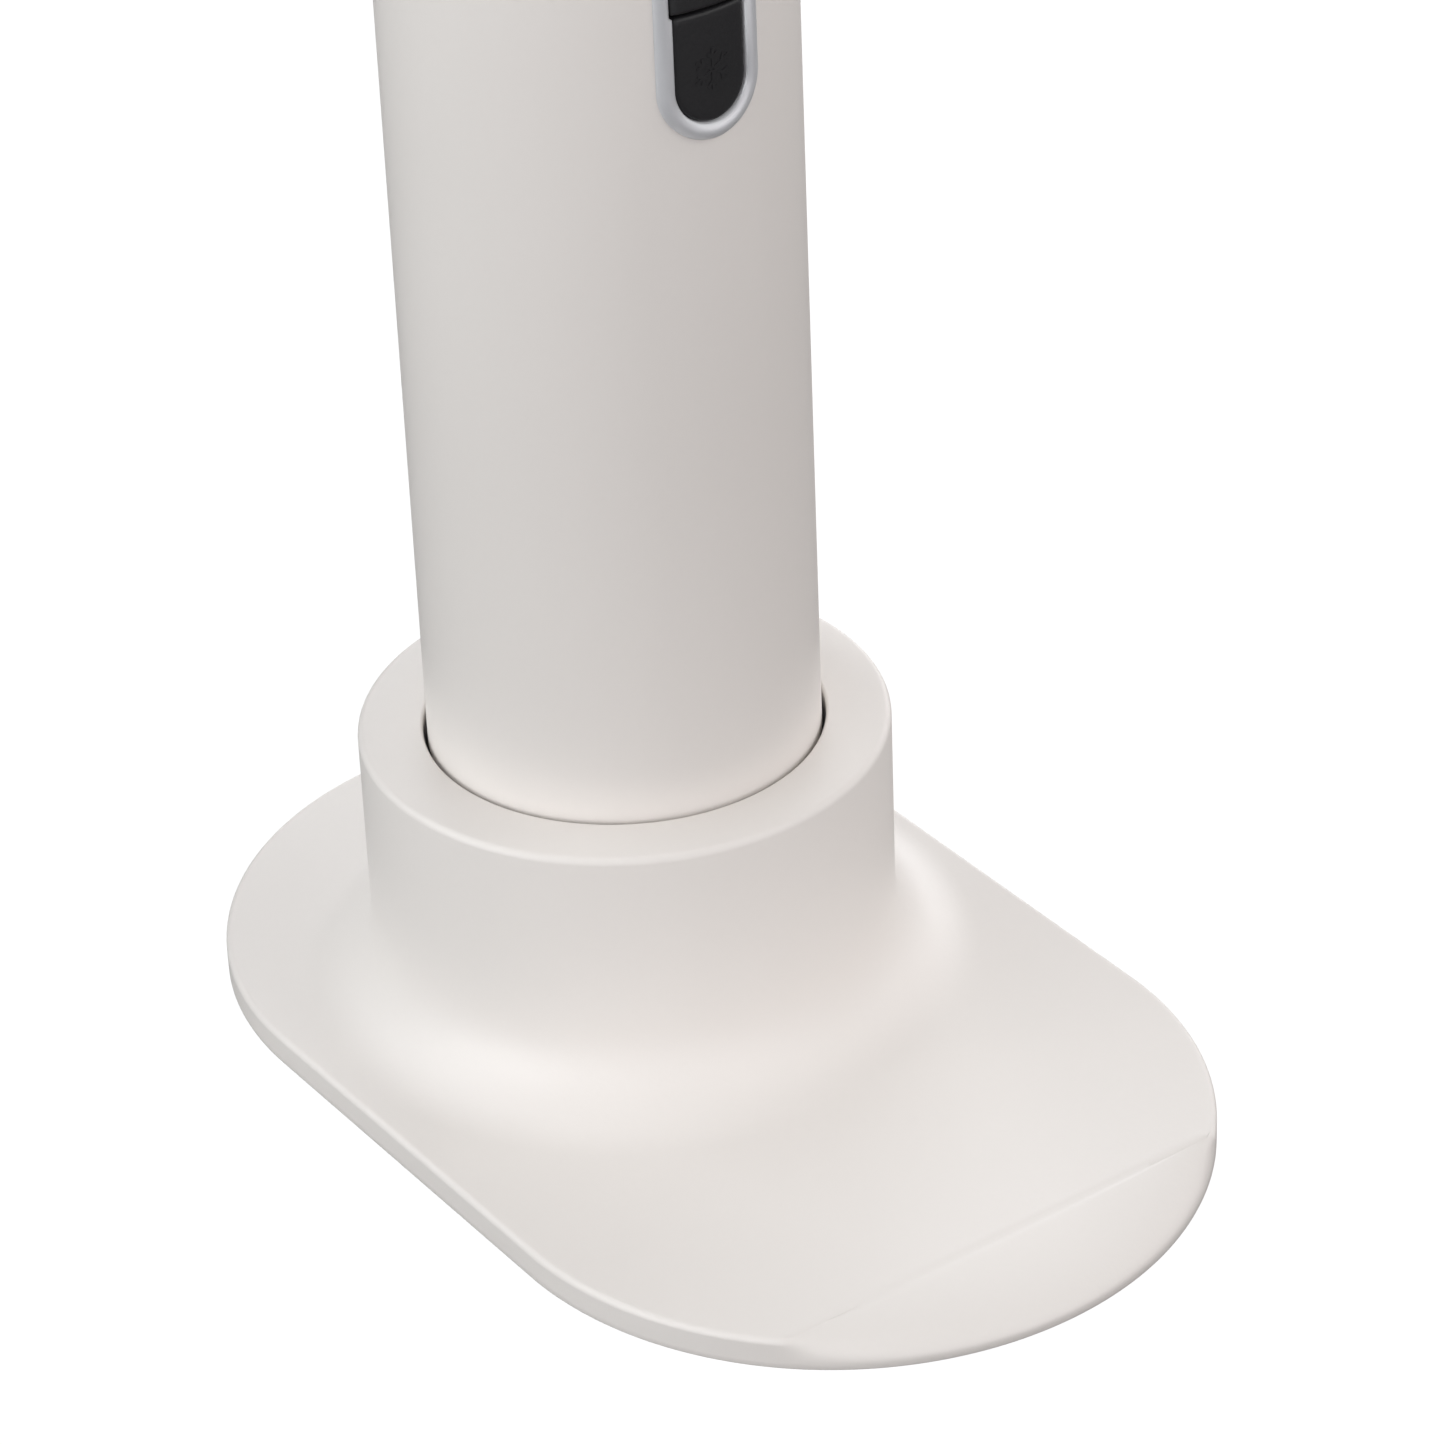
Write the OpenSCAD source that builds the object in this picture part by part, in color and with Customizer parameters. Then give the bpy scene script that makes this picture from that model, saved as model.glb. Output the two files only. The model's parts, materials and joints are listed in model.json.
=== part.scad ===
// Hot-air hair styler wand standing in its weighted desk stand.
// Origin: centre of the base plate, on the table. +Z up, the controls face -Y.
// Sizes are in millimetres. Heights of wand pieces are measured from the wand's lower end.

/* [Stand] */
// Radius of the plate's round ends, half its width
plate_r = 39.3; // [37:0.1:50]
// Length of the plate, front to back
plate_len = 126.3; // [120:0.1:160]
// Height of the plate's top face over the table
plate_t = 3.8; // [3.6:0.1:6]
// Rounding along the plate's top edge
plate_edge = 0.7; // [0.3:0.1:1.2]
// Length of the sloping nose in front of the crease
nose_len = 11.5; // [8:0.5:14]
// Upright lip left under the nose
nose_lip = 0.6; // [0.4:0.1:1.2]
// Place of the collar, behind the plate's centre
collar_y = 13.25; // [8:0.25:16]
// Wall of the collar
collar_wall = 6.95; // [6:0.05:8.4]
// Height of the collar's rim over the table
collar_h = 34.4; // [30:0.1:45]
// Rounding of the collar's outer rim
collar_edge = 1.2; // [0.4:0.1:2]
// Rounding between collar and plate
collar_fillet = 9; // [4:0.5:10]
// Gap around the wand in the collar
socket_gap = 0.45; // [0.3:0.05:1]
// Width of the slot for the cord, at the back of the collar
slot_w = 10; // [8:0.5:12]
// Height of the rubber ring that the wand rests on
rest_h = 9.9; // [8:0.1:14]

/* [Stand inside] */
// Skin over the pocket for the weight
skin_t = 1.3; // [1:0.1:1.8]
// Floor of the socket
floor_t = 2; // [1.5:0.1:4]
// Width of the rim around the pocket
rim_w = 2.4; // [1.6:0.1:4]
// Thickness of the steel weight
ballast_t = 1.4; // [1:0.1:1.6]
// Radius of the weight's screws
screw_r = 1.5; // [1.2:0.1:1.6]
// Length of the weight's screws
screw_len = 9; // [6:0.5:12]

/* [Wand] */
// Radius of the handle
handle_r = 21; // [17.5:0.5:26]
// Wall of the handle
handle_wall = 1.8; // [1.4:0.1:2.2]
// Length of the wand without an attachment
wand_len = 246; // [240:1:300]
// Height of the filter cage at the lower end
cage_h = 18; // [16:0.5:19]
// Wall of the filter cage
cage_wall = 1.4; // [1:0.1:1.8]
// Number of air slots around the cage
cage_slots = 20; // [12:1:26]
// Radius of the boss that carries the cord gland
boss_r = 9; // [8.4:0.1:11]
// Radius of the gland's bore for the cord
cord_r = 3.4; // [2.5:0.1:4]

/* [Controls] */
// Lower end of the control panel, from the wand's lower end
panel_z = 95.8; // [88:0.1:96]
// Length of the control panel
panel_len = 51.8; // [50:0.1:54]
// Half the width of the panel's metal trim
trim_half = 5.9; // [5.6:0.1:6.5]
// How far the trim stands out of the handle
trim_proud = 0.8; // [0.4:0.1:1.2]
// Half the width of the cool-shot button's opening
cool_half = 4.2; // [3.8:0.1:4.4]
// Height of the cool-shot button
cool_len = 11.9; // [11:0.1:13]
// Half the width of the switch's opening
slide_half = 4.5; // [4.4:0.1:4.9]
// Height of the sliding thumb piece
thumb_len = 13.6; // [12:0.1:16]
// Travel of the switch, off to full speed
slide_travel = 12; // [8:0.5:14]
// Travel of the cool-shot button
press_travel = 0.5; // [0.3:0.05:0.5]

/* [Air path] */
// Radius of the motor's can
motor_r = 14.5; // [13.5:0.1:15.4]
// Length of the motor's can
motor_len = 32; // [31:0.5:34]
// Room between handle and duct for the controls
panel_depth = 6.2; // [6.1:0.1:8]
// Number of fan blades
fan_blades = 9; // [5:1:13]
// Length of the heater
heater_len = 54; // [50:0.5:56]
// Turns of heating wire
coil_turns = 12; // [6:1:16]
// Depth of the socket for attachments
socket_depth = 19.5; // [16:0.5:19.5]

/* [Hidden] */
$fn = 96;
eps = 0.01;
run_fit = 0.05;
press_fit = 0.02;
slip = 0.1;
free_gap = 0.3;

front_y = -plate_len / 2;
end_y = plate_len / 2 - plate_r;
crease_y = front_y + nose_len;
tube_in = handle_r - handle_wall;
collar_in = handle_r + socket_gap;
collar_r = collar_in + collar_wall;
fillet_r = min(collar_fillet, plate_r - collar_r - plate_edge - 0.5);
pocket_top = plate_t - skin_t;
floor_z = pocket_top + floor_t;
rim_lift = 0.3;
nose_set = 0.04;
pad_t = pocket_top - ballast_t - press_fit;
screw_ring = (collar_in + collar_r) / 2;
screw_head_r = screw_r + 1.3;
seat_z = floor_z + rest_h + run_fit;
rest_in = collar_in - 7.4;

cage_r = handle_r - slip;
cage_in = cage_r - cage_wall;
cage_floor = 1.6;
spigot_top = cage_h + 4;
spigot_in = tube_in - run_fit - 1.25;
gland_r = cord_r + 1.75;
gland_drop = 6;
flange_r = gland_r + 1.5;
flange_z = 8;
frame_z = spigot_top + 0.4;
frame_top = frame_z + 3.6;

can_z = frame_top + 2;
can_top = can_z + motor_len;
can_in = motor_r - 1.1;
shaft_r = 2;
bearing_r = 4;
bearing_h = 3;
fan_z = can_z + 2.5;
fan_h = 8;
diff_z = fan_z + fan_h + 1;
diff_h = 6;
stator_z = diff_z + diff_h + slip;
stator_h = 10.8;
stator_r = can_in - 2.9;
magnet_r = 6.2;
bridge_z = can_top - 3.4;
post_h = 2;
board_t = 1.2;

duct_r = tube_in - panel_depth;
duct_in = duct_r - 1;
outlet_len = 26;
sleeve_z = wand_len - outlet_len;
sleeve_r = tube_in - free_gap;
throat_r = sleeve_r - 1.9;
socket_r = sleeve_r - 1.4;
socket_z = wand_len - socket_depth;
shield_r = throat_r + 0.2;
shield_t = 0.4;
heater_top = sleeve_z + 2;
heater_z = heater_top - heater_len;
mica_t = 0.8;
wire_r = 0.4;
wire_ring = shield_r - 1.7;
cap_h = 5.7;
ring_h = 11.7;
ring_z = wand_len - cap_h - free_gap - ring_h;
tube_top = ring_z - free_gap;

trim_inner_z = panel_z + trim_half - cool_half;
cool_top = trim_inner_z + cool_len;
slide_z = cool_top + slip;
track_top = panel_z + panel_len - trim_half + slide_half;
thumb_z = slide_z + 0.4;
track_out = handle_r - 0.85;
track_in = tube_in + run_fit;
board_y = tube_in - 3.6;
frame_half = 8.5;
board_half = frame_half - 0.8;
frame_in = tube_in - 1.65;
clip_z = panel_z - 4.5;
clip_top = panel_z + panel_len + 4.5;
post_z = [clip_z + 2.7, clip_top - 3.1];
key_z = trim_inner_z + 5.9;
stem_z = thumb_z + 5.1;
stem_h = 3.4;
stem_y = board_y + 2.8;
plunger_y = board_y + 0.7 + press_travel;

// ---------- shared shapes ----------

// Tube of outer radius ro and inner radius ri, from height z
module tube(ro, ri, z, h) {
  translate([0, 0, z])
    difference() {
      cylinder(r = ro, h = h);
      translate([0, 0, -1]) cylinder(r = ri, h = h + 2);
    }
}

// Half outline of a disc whose top edge is rounded by e
module edge_profile(r, h, e) {
  square([r - e, h]);
  square([r, h - e]);
  translate([r - e, h - e])
    intersection() {
      circle(r = e);
      square([e, e]);
    }
}

// Disc of radius r with a rounded top edge
module round_disc(r, h, e) {
  rotate_extrude() edge_profile(r, h, e);
}

// Everything that belongs to the wand stands on the rest ring
module on_wand() {
  translate([0, collar_y, seat_z]) children();
}

// Prism from the wand's axis out to the front, from an outline in X and Z
module to_front() {
  rotate([90, 0, 0]) linear_extrude(height = 2 * handle_r) children();
}

// Box that stands d in front of the wand's axis, th deep, centred on X
module front_box(half, z, h, d, th) {
  translate([-half, -d - th, z]) cube([2 * half, th, h]);
}

// Pin along Y, from d to d + len in front of the wand's axis
module front_pin(r, z, d, len) {
  translate([0, -d, z]) rotate([90, 0, 0]) cylinder(r = r, h = len);
}

// Upright pill from z0 to z1
module pill(z0, z1, half) {
  translate([0, z0 + half]) circle(r = half);
  translate([0, z1 - half]) circle(r = half);
  translate([-half, z0 + half]) square([2 * half, z1 - z0 - 2 * half]);
}

// ---------- stand ----------

// Plan of the plate, drawn in by gap
module plate_plan(gap) {
  for (y = [-end_y, end_y]) translate([0, y]) circle(r = plate_r - gap);
  translate([gap - plate_r, -end_y]) square([2 * (plate_r - gap), 2 * end_y]);
}

// Plan of the pocket under the plate, which stops short of the nose
module pocket_plan(gap) {
  intersection() {
    plate_plan(rim_w + gap);
    translate([-plate_r, crease_y + 3 + gap]) square([2 * plate_r, plate_len]);
  }
}

// How far the rounded edge draws the plate's wall in at height z
function edge_inset(z) =
  z <= plate_t - plate_edge ? 0 : plate_edge - sqrt(plate_edge ^ 2 - (z - plate_t + plate_edge) ^ 2);

// Nose outline at the fraction t of its fall, as arcs through the ends of the crease
function nose_height(t) = nose_lip + (plate_t - nose_set - nose_lip) * sqrt(1 - t * t);
function nose_half(r) = sqrt(r * r - (crease_y + end_y) ^ 2);
function nose_reach(r, t) = t * (r - nose_half_depth());
function nose_half_depth() = -crease_y - end_y;
function arc_dip(c, s, x) = s <= eps ? 0 : s - (c * c + s * s) / (2 * s)
  + sqrt(((c * c + s * s) / (2 * s)) ^ 2 - x * x);

module nose_slice(t, z, h) {
  r = plate_r - edge_inset(z + h) - nose_set;
  c = nose_half(r);
  s = nose_reach(r, t);
  steps = 36;
  arc = [for (i = [0 : steps]) let (x = -c + 2 * c * i / steps) [x, crease_y - arc_dip(c, s, x)]];
  translate([0, 0, z])
    linear_extrude(height = h)
      polygon(concat([[c, crease_y + 1], [-c, crease_y + 1]], arc));
}

// Sloping nose: vertical at the table, level at the crease
module nose() {
  hull() {
    nose_slice(1, rim_lift + nose_set, nose_lip - rim_lift - nose_set);
    for (a = [15 : 15 : 90]) nose_slice(cos(a), nose_height(cos(a)) - eps, eps);
  }
}

module plate_body() {
  difference() {
    union() {
      for (y = [-end_y, end_y]) translate([0, y, 0]) round_disc(plate_r, plate_t, plate_edge);
      translate([0, end_y, 0])
        rotate([90, 0, 0])
          linear_extrude(height = 2 * end_y)
            union() {
              edge_profile(plate_r, plate_t, plate_edge);
              mirror([1, 0]) edge_profile(plate_r, plate_t, plate_edge);
            }
    }
    translate([-plate_r - 1, front_y - 1, -1]) cube([2 * plate_r + 2, nose_len + 1, plate_t + 2]);
    translate([-plate_r - 1, front_y - 1, -1]) cube([2 * plate_r + 2, plate_len + 2, rim_lift + 1]);
  }
}

// Collar with its rounded rim and the sweep down to the plate
module collar_body() {
  translate([0, collar_y, 0])
    rotate_extrude() {
      translate([0, pocket_top]) edge_profile(collar_r, collar_h - pocket_top, collar_edge);
      difference() {
        translate([0, plate_t - skin_t / 2]) square([collar_r + fillet_r, fillet_r + skin_t / 2]);
        translate([collar_r + fillet_r, plate_t + fillet_r]) circle(r = fillet_r);
      }
    }
}

module at_screws() {
  translate([0, collar_y, 0])
    for (a = [45 : 90 : 315]) rotate([0, 0, a]) translate([screw_ring, 0, 0]) children();
}

module stand_shell() {
  color([0.93, 0.92, 0.9])
    difference() {
      union() {
        plate_body();
        nose();
        collar_body();
      }
      translate([0, 0, -1]) linear_extrude(height = pocket_top + 1) pocket_plan(0);
      translate([0, collar_y, floor_z]) cylinder(r = collar_in, h = collar_h);
      translate([0, collar_y, collar_h - free_gap])
        cylinder(r1 = collar_in, r2 = collar_in + 2 * free_gap, h = 2 * free_gap);
      translate([-slot_w / 2, collar_y, floor_z]) cube([slot_w, plate_len, collar_h]);
      at_screws() translate([0, 0, -1]) cylinder(r = screw_r + press_fit, h = screw_len + 3);
    }
}

module ballast_plate() {
  color([0.55, 0.56, 0.58])
    translate([0, 0, pad_t + press_fit])
      difference() {
        linear_extrude(height = ballast_t) pocket_plan(free_gap);
        at_screws() translate([0, 0, -1]) cylinder(r = screw_r + slip, h = ballast_t + 2);
        at_screws()
          translate([0, 0, -eps]) cylinder(r1 = screw_head_r + slip, r2 = screw_r + slip, h = ballast_t);
      }
}

module base_pad() {
  color([0.2, 0.2, 0.21])
    linear_extrude(height = pad_t) pocket_plan(free_gap);
}

module ballast_screws() {
  color([0.7, 0.7, 0.72])
    at_screws()
      translate([0, 0, pad_t + press_fit]) {
        difference() {
          cylinder(r1 = screw_head_r, r2 = screw_r, h = ballast_t);
          translate([0, 0, -eps]) rotate([0, 0, 30]) cylinder(r = screw_r * 0.6, h = 0.9, $fn = 6);
        }
        cylinder(r = screw_r, h = screw_len);
      }
}

module rest_ring() {
  color([0.16, 0.16, 0.17])
    translate([0, collar_y, 0])
      difference() {
        tube(collar_in - 0.25, rest_in, floor_z, rest_h);
        translate([-slot_w / 2, 0, 0]) cube([slot_w, plate_len, collar_h]);
      }
}

// ---------- wand, lower end ----------

module handle_tube() {
  color([0.93, 0.92, 0.9])
    on_wand()
      difference() {
        tube(handle_r, tube_in, cage_h + 2 * slip, tube_top - cage_h - 2 * slip);
        to_front() pill(panel_z - run_fit, panel_z + panel_len + run_fit, trim_half + run_fit);
      }
}

module filter_cage() {
  slot_z = cage_floor + 2;
  slot_h = cage_h - slot_z - 4;
  color([0.24, 0.24, 0.25])
    on_wand() {
      difference() {
        tube(cage_r, cage_in, 0, cage_h);
        for (i = [0 : cage_slots - 1])
          rotate([0, 0, (i + 0.5) * 360 / cage_slots])
            translate([cage_in - 1, -1.1, slot_z]) cube([cage_wall + 2, 2.2, slot_h]);
      }
      tube(cage_in + eps, boss_r + free_gap, 0, cage_floor);
      tube(cage_in + eps, spigot_in, cage_h - 1.4, 1.4);
      tube(tube_in - run_fit, spigot_in, cage_h - 1.4, spigot_top - cage_h + 1.4);
    }
}

module filter_mesh() {
  mesh_r = cage_in - slip;
  mesh_h = cage_h - cage_floor - 1.4 - 2 * slip;
  color([0.6, 0.6, 0.62])
    on_wand() tube(mesh_r, mesh_r - 0.5, cage_floor + slip, mesh_h);
}

module cord_boss() {
  color([0.2, 0.2, 0.21])
    on_wand()
      difference() {
        cylinder(r = boss_r, h = frame_z - 6.4);
        translate([0, 0, -1]) cylinder(r = gland_r + run_fit, h = flange_z + 2);
        translate([0, 0, flange_z]) cylinder(r = flange_r + free_gap, h = frame_z);
      }
}

// Swivelling gland: it turns in the boss and is held by its flange
module cord_gland() {
  color([0.26, 0.26, 0.27])
    on_wand()
      difference() {
        union() {
          translate([0, 0, -gland_drop]) cylinder(r1 = gland_r - 1.1, r2 = gland_r - 0.1, h = gland_drop);
          cylinder(r = gland_r, h = flange_z + slip);
          translate([0, 0, flange_z + slip]) cylinder(r = flange_r, h = 1.6);
        }
        translate([0, 0, -gland_drop - 1]) cylinder(r = cord_r, h = gland_drop + flange_z + 4);
      }
}

module intake_frame() {
  hub_z = frame_z - 6.4;
  color([0.2, 0.2, 0.21])
    on_wand() {
      tube(boss_r, boss_r - 2.6, hub_z, frame_top - hub_z);
      tube(tube_in - press_fit, tube_in - 2.2, frame_z, frame_top - frame_z);
      for (a = [45 : 90 : 315])
        rotate([0, 0, a])
          translate([boss_r - 1, -1, frame_z]) cube([tube_in - boss_r - 0.6, 2, frame_top - frame_z]);
    }
}

// ---------- motor and fan ----------

module motor_dampers() {
  color([0.18, 0.18, 0.19])
    on_wand()
      for (z = [can_z + 3, can_top - 9])
        tube(tube_in - press_fit, motor_r + press_fit, z, 4);
}

module motor_can() {
  color([0.72, 0.73, 0.75])
    on_wand() tube(motor_r, can_in, can_z, motor_len);
}

module impeller() {
  tip_r = can_in - free_gap;
  hub_r = 7.5;
  color([0.35, 0.36, 0.38])
    on_wand()
      difference() {
        union() {
          translate([0, 0, fan_z]) cylinder(r1 = 4.5, r2 = hub_r, h = fan_h);
          translate([0, 0, fan_z - 1.4]) cylinder(r1 = 3, r2 = 4.5, h = 1.4);
          intersection() {
            for (i = [0 : fan_blades - 1])
              rotate([0, 0, i * 360 / fan_blades])
                translate([(tip_r + 4) / 2, 0, fan_z + fan_h / 2])
                  rotate([40, 0, 0]) cube([tip_r - 2, 0.8, 1.4 * fan_h], center = true);
            translate([0, 0, fan_z + 0.5]) cylinder(r = tip_r, h = fan_h - 0.5);
          }
        }
        translate([0, 0, fan_z - 2]) cylinder(r = shaft_r + press_fit, h = fan_h + 4);
      }
}

module diffuser() {
  hub_r = 8;
  vanes = 11;
  color([0.78, 0.79, 0.8])
    on_wand()
      difference() {
        union() {
          translate([0, 0, diff_z]) cylinder(r = hub_r, h = diff_h);
          intersection() {
            for (i = [0 : vanes - 1])
              rotate([0, 0, i * 360 / vanes])
                translate([(can_in + hub_r) / 2, 0, diff_z + diff_h / 2])
                  rotate([-18, 0, 0]) cube([can_in - hub_r + 2, 0.8, 1.4 * diff_h], center = true);
            translate([0, 0, diff_z + 0.2]) cylinder(r = can_in - press_fit, h = diff_h - 0.4);
          }
        }
        translate([0, 0, diff_z - 1]) cylinder(r = shaft_r + 0.6, h = diff_h + 2);
        translate([0, 0, diff_z + diff_h - bearing_h - 1])
          cylinder(r = bearing_r + press_fit, h = bearing_h + 2);
      }
}

module bearings() {
  color([0.75, 0.76, 0.78])
    on_wand()
      for (z = [diff_z + diff_h - bearing_h - 1, bridge_z + 0.2])
        tube(bearing_r, shaft_r + run_fit, z, bearing_h);
}

module shaft() {
  color([0.8, 0.81, 0.82])
    on_wand() translate([0, 0, fan_z - 1.2]) cylinder(r = shaft_r, h = can_top - fan_z + 1);
}

module rotor_magnet() {
  color([0.4, 0.41, 0.43])
    on_wand() tube(magnet_r, shaft_r + press_fit, stator_z + 0.9, stator_h - 1.8);
}

module stator_core() {
  pole_half = 2.2;
  color([0.5, 0.51, 0.53])
    on_wand() {
      tube(stator_r, stator_r - 1.7, stator_z, stator_h);
      intersection() {
        for (a = [0 : 90 : 270])
          rotate([0, 0, a])
            translate([0, -pole_half, stator_z + 2.4]) cube([stator_r - 1, 2 * pole_half, stator_h - 4.8]);
        tube(stator_r - 1, magnet_r + 0.4, stator_z, stator_h);
      }
    }
}

module stator_coils() {
  coil_in = magnet_r + 0.7;
  coil_half = 3.4;
  coil_d = sqrt((stator_r - 1.8) ^ 2 - coil_half ^ 2) - coil_in;
  color([0.72, 0.42, 0.22])
    on_wand()
      for (a = [0 : 90 : 270])
        rotate([0, 0, a])
          translate([coil_in, 0, stator_z + stator_h / 2])
            difference() {
              translate([0, -coil_half, -4.3]) cube([coil_d, 2 * coil_half, 8.6]);
              translate([-1, -2.25, 2.35 - stator_h / 2]) cube([coil_d + 2, 4.5, stator_h - 4.7]);
            }
}

module bearing_bridge() {
  hub_r = bearing_r + 0.9;
  color([0.78, 0.79, 0.8])
    on_wand()
      difference() {
        union() {
          translate([0, 0, bridge_z]) cylinder(r = hub_r, h = can_top - bridge_z);
          intersection() {
            for (a = [0, 90])
              rotate([0, 0, a])
                translate([-motor_r, -1.1, bridge_z]) cube([2 * motor_r, 2.2, can_top - bridge_z]);
            translate([0, 0, bridge_z]) cylinder(r = can_in - press_fit, h = motor_len);
          }
          for (a = [0 : 90 : 270])
            rotate([0, 0, a]) translate([8, 0, can_top - eps]) cylinder(r = 1, h = post_h);
        }
        translate([0, 0, bridge_z - 1]) cylinder(r = bearing_r + press_fit, h = 6);
      }
}

module motor_board() {
  color([0.1, 0.35, 0.22])
    on_wand() tube(9.6, 3, can_top + post_h, board_t);
}

module duct_seal() {
  color([0.2, 0.2, 0.21])
    on_wand() tube(motor_r + 1.6, motor_r + press_fit, can_top - 3, 6);
}

// Duct from the motor up to the heater, with a cup that holds the heater shield
module air_duct() {
  color([0.85, 0.85, 0.86])
    on_wand()
      rotate_extrude()
        polygon([
          [can_in, can_top + slip], [motor_r, can_top + slip],
          [motor_r, can_top + 4], [duct_r, can_top + 8],
          [duct_r, heater_z - 11], [tube_in - slip, heater_z - 2],
          [tube_in - slip, heater_z + 4], [shield_r + run_fit, heater_z + 4],
          [shield_r + run_fit, heater_z], [shield_r - 1.2, heater_z],
          [shield_r - 1.2, heater_z - 3], [duct_in, heater_z - 10],
          [duct_in, can_top + 8.5], [can_in, can_top + 4.5]
        ]);
}

// ---------- controls ----------

// Opening inside the trim: round at both ends, wider above the button
module panel_hole(gap) {
  translate([0, trim_inner_z + cool_half]) circle(r = cool_half - gap);
  translate([gap - cool_half, trim_inner_z + cool_half])
    square([2 * (cool_half - gap), cool_top - trim_inner_z - cool_half]);
  translate([gap - slide_half, cool_top]) square([2 * (slide_half - gap), track_top - slide_half - cool_top]);
  translate([0, track_top - slide_half]) circle(r = slide_half - gap);
}

module panel_trim() {
  color([0.78, 0.79, 0.8])
    on_wand()
      intersection() {
        tube(handle_r + trim_proud, tube_in + run_fit, panel_z - 1, panel_len + 2);
        to_front()
          difference() {
            pill(panel_z, panel_z + panel_len, trim_half);
            panel_hole(0);
          }
      }
}

// Inner frame behind the trim, with two posts for the board
module panel_frame() {
  color([0.15, 0.15, 0.16])
    on_wand()
      difference() {
        union() {
          intersection() {
            tube(tube_in - run_fit, frame_in, clip_z, clip_top - clip_z);
            front_box(frame_half, clip_z, clip_top - clip_z, 0, 2 * handle_r);
          }
          for (z = post_z) front_pin(1.9, z, board_y + run_fit, 2.4);
        }
        for (z = post_z) front_pin(0.85, z, board_y - 1, 3);
        front_box(3.4, key_z - 4.2, 8.4, board_y, 8);
        front_box(1.6, stem_z - 0.6, stem_h + slide_travel + 1.2, board_y, 8);
      }
}

module control_board() {
  color([0.1, 0.35, 0.22])
    on_wand()
      difference() {
        front_box(board_half, clip_z + 0.5, clip_top - clip_z - 1, board_y - board_t, board_t);
        for (z = post_z) front_pin(1.1, z, board_y - 3, 6);
      }
}

module board_screws() {
  color([0.7, 0.7, 0.72])
    on_wand()
      for (z = post_z) {
        front_pin(1.7, z, board_y - board_t - 0.85, 0.8);
        front_pin(0.8, z, board_y - board_t - run_fit, 3);
      }
}

module cool_switch() {
  color([0.3, 0.3, 0.32])
    on_wand()
      difference() {
        front_box(3, key_z - 3, 6, board_y, 1.7);
        front_pin(1.2, key_z, board_y + 0.5, 3);
      }
}

module cool_plunger() {
  color([0.6, 0.58, 0.5])
    on_wand() front_pin(1.1, key_z, plunger_y, stem_y - run_fit - plunger_y);
}

// Snowflake mark: three crossed bars with short branches
module snowflake(z, size) {
  for (a = [0 : 60 : 300])
    translate([0, 0, z])
      rotate([0, a, 0]) {
        translate([-0.17, -handle_r, 0]) cube([0.34, 2, size / 2]);
        for (s = [-1, 1])
          translate([0, -handle_r, size * 0.27])
            rotate([0, 40 * s, 0])
              translate([-0.13, 0, 0]) cube([0.26, 2, size * 0.17]);
      }
}

module cool_button() {
  face_r = handle_r + 0.3;
  color([0.07, 0.07, 0.08])
    on_wand() {
      intersection() {
        tube(face_r, tube_in + 0.7, panel_z, panel_len);
        to_front()
          intersection() {
            panel_hole(slip);
            translate([-cool_half, panel_z]) square([2 * cool_half, cool_top - slip - panel_z]);
          }
      }
      intersection() {
        tube(face_r + 0.12, tube_in + 1, panel_z, panel_len);
        snowflake(key_z - 0.3, 4.4);
      }
      front_box(2.4, key_z - 3, 6, stem_y, handle_r - stem_y - slip);
    }
}

module slide_switch() {
  slot_half = 1.05;
  color([0.3, 0.3, 0.32])
    on_wand()
      difference() {
        front_box(3, stem_z - 2.5, stem_h + slide_travel + 5, board_y, 1.6);
        front_box(slot_half, stem_z + 0.2, stem_h + slide_travel - 0.2, board_y + 0.5, 3);
      }
}

module switch_lever() {
  color([0.6, 0.58, 0.5])
    on_wand() front_box(0.9, stem_z + 0.6, stem_h - 1.2, board_y + 0.7, stem_y - board_y - 0.75);
}

module slide_thumb() {
  ribs = 5;
  face_r = handle_r + 1;
  color([0.07, 0.07, 0.08])
    on_wand() {
      difference() {
        intersection() {
          tube(face_r, track_out + 0.2, thumb_z, thumb_len);
          front_box(slide_half - slip, thumb_z, thumb_len, 0, 2 * handle_r);
        }
        for (i = [0 : ribs])
          translate([-slide_half, -face_r - 1, thumb_z + thumb_len / 2 + (i - ribs / 2) * 1.6])
            cube([2 * slide_half, 1.55, 0.5]);
      }
      front_box(1.1, stem_z, stem_h, stem_y, handle_r - stem_y);
    }
}

module slide_track() {
  color([0.1, 0.1, 0.11])
    on_wand()
      difference() {
        intersection() {
          tube(track_out, track_in, panel_z, panel_len);
          to_front()
            intersection() {
              panel_hole(run_fit);
              translate([-slide_half, slide_z]) square([2 * slide_half, track_top - slide_z]);
            }
        }
        front_box(1.35, stem_z - 0.4, stem_h + slide_travel + 0.8, board_y, 8);
      }
}

// ---------- heater and outlet ----------

module heater_shield() {
  color([0.82, 0.8, 0.72])
    on_wand() tube(shield_r, shield_r - shield_t, heater_z + press_fit, heater_len - 2 * press_fit);
}

// Two crossed mica boards with wider tabs at both ends
module mica_frame() {
  half = wire_ring - wire_r - slip;
  tab = shield_r - shield_t - free_gap;
  body_h = heater_len - 2.2;
  color([0.8, 0.76, 0.64])
    on_wand()
      for (a = [45, 135])
        rotate([0, 0, a])
          translate([0, 0, heater_z + slip]) {
            translate([-half, -mica_t / 2, 0]) cube([2 * half, mica_t, body_h]);
            for (z = [0, body_h - 3])
              translate([-tab, -mica_t / 2, z]) cube([2 * tab, mica_t, 3]);
          }
}

module heater_coil() {
  pitch = (heater_len - 12) / (coil_turns - 1);
  color([0.6, 0.56, 0.52])
    on_wand()
      for (i = [0 : coil_turns - 1])
        translate([0, 0, heater_z + 5.5 + i * pitch])
          rotate_extrude() translate([wire_ring, 0]) circle(r = wire_r);
}

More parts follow.
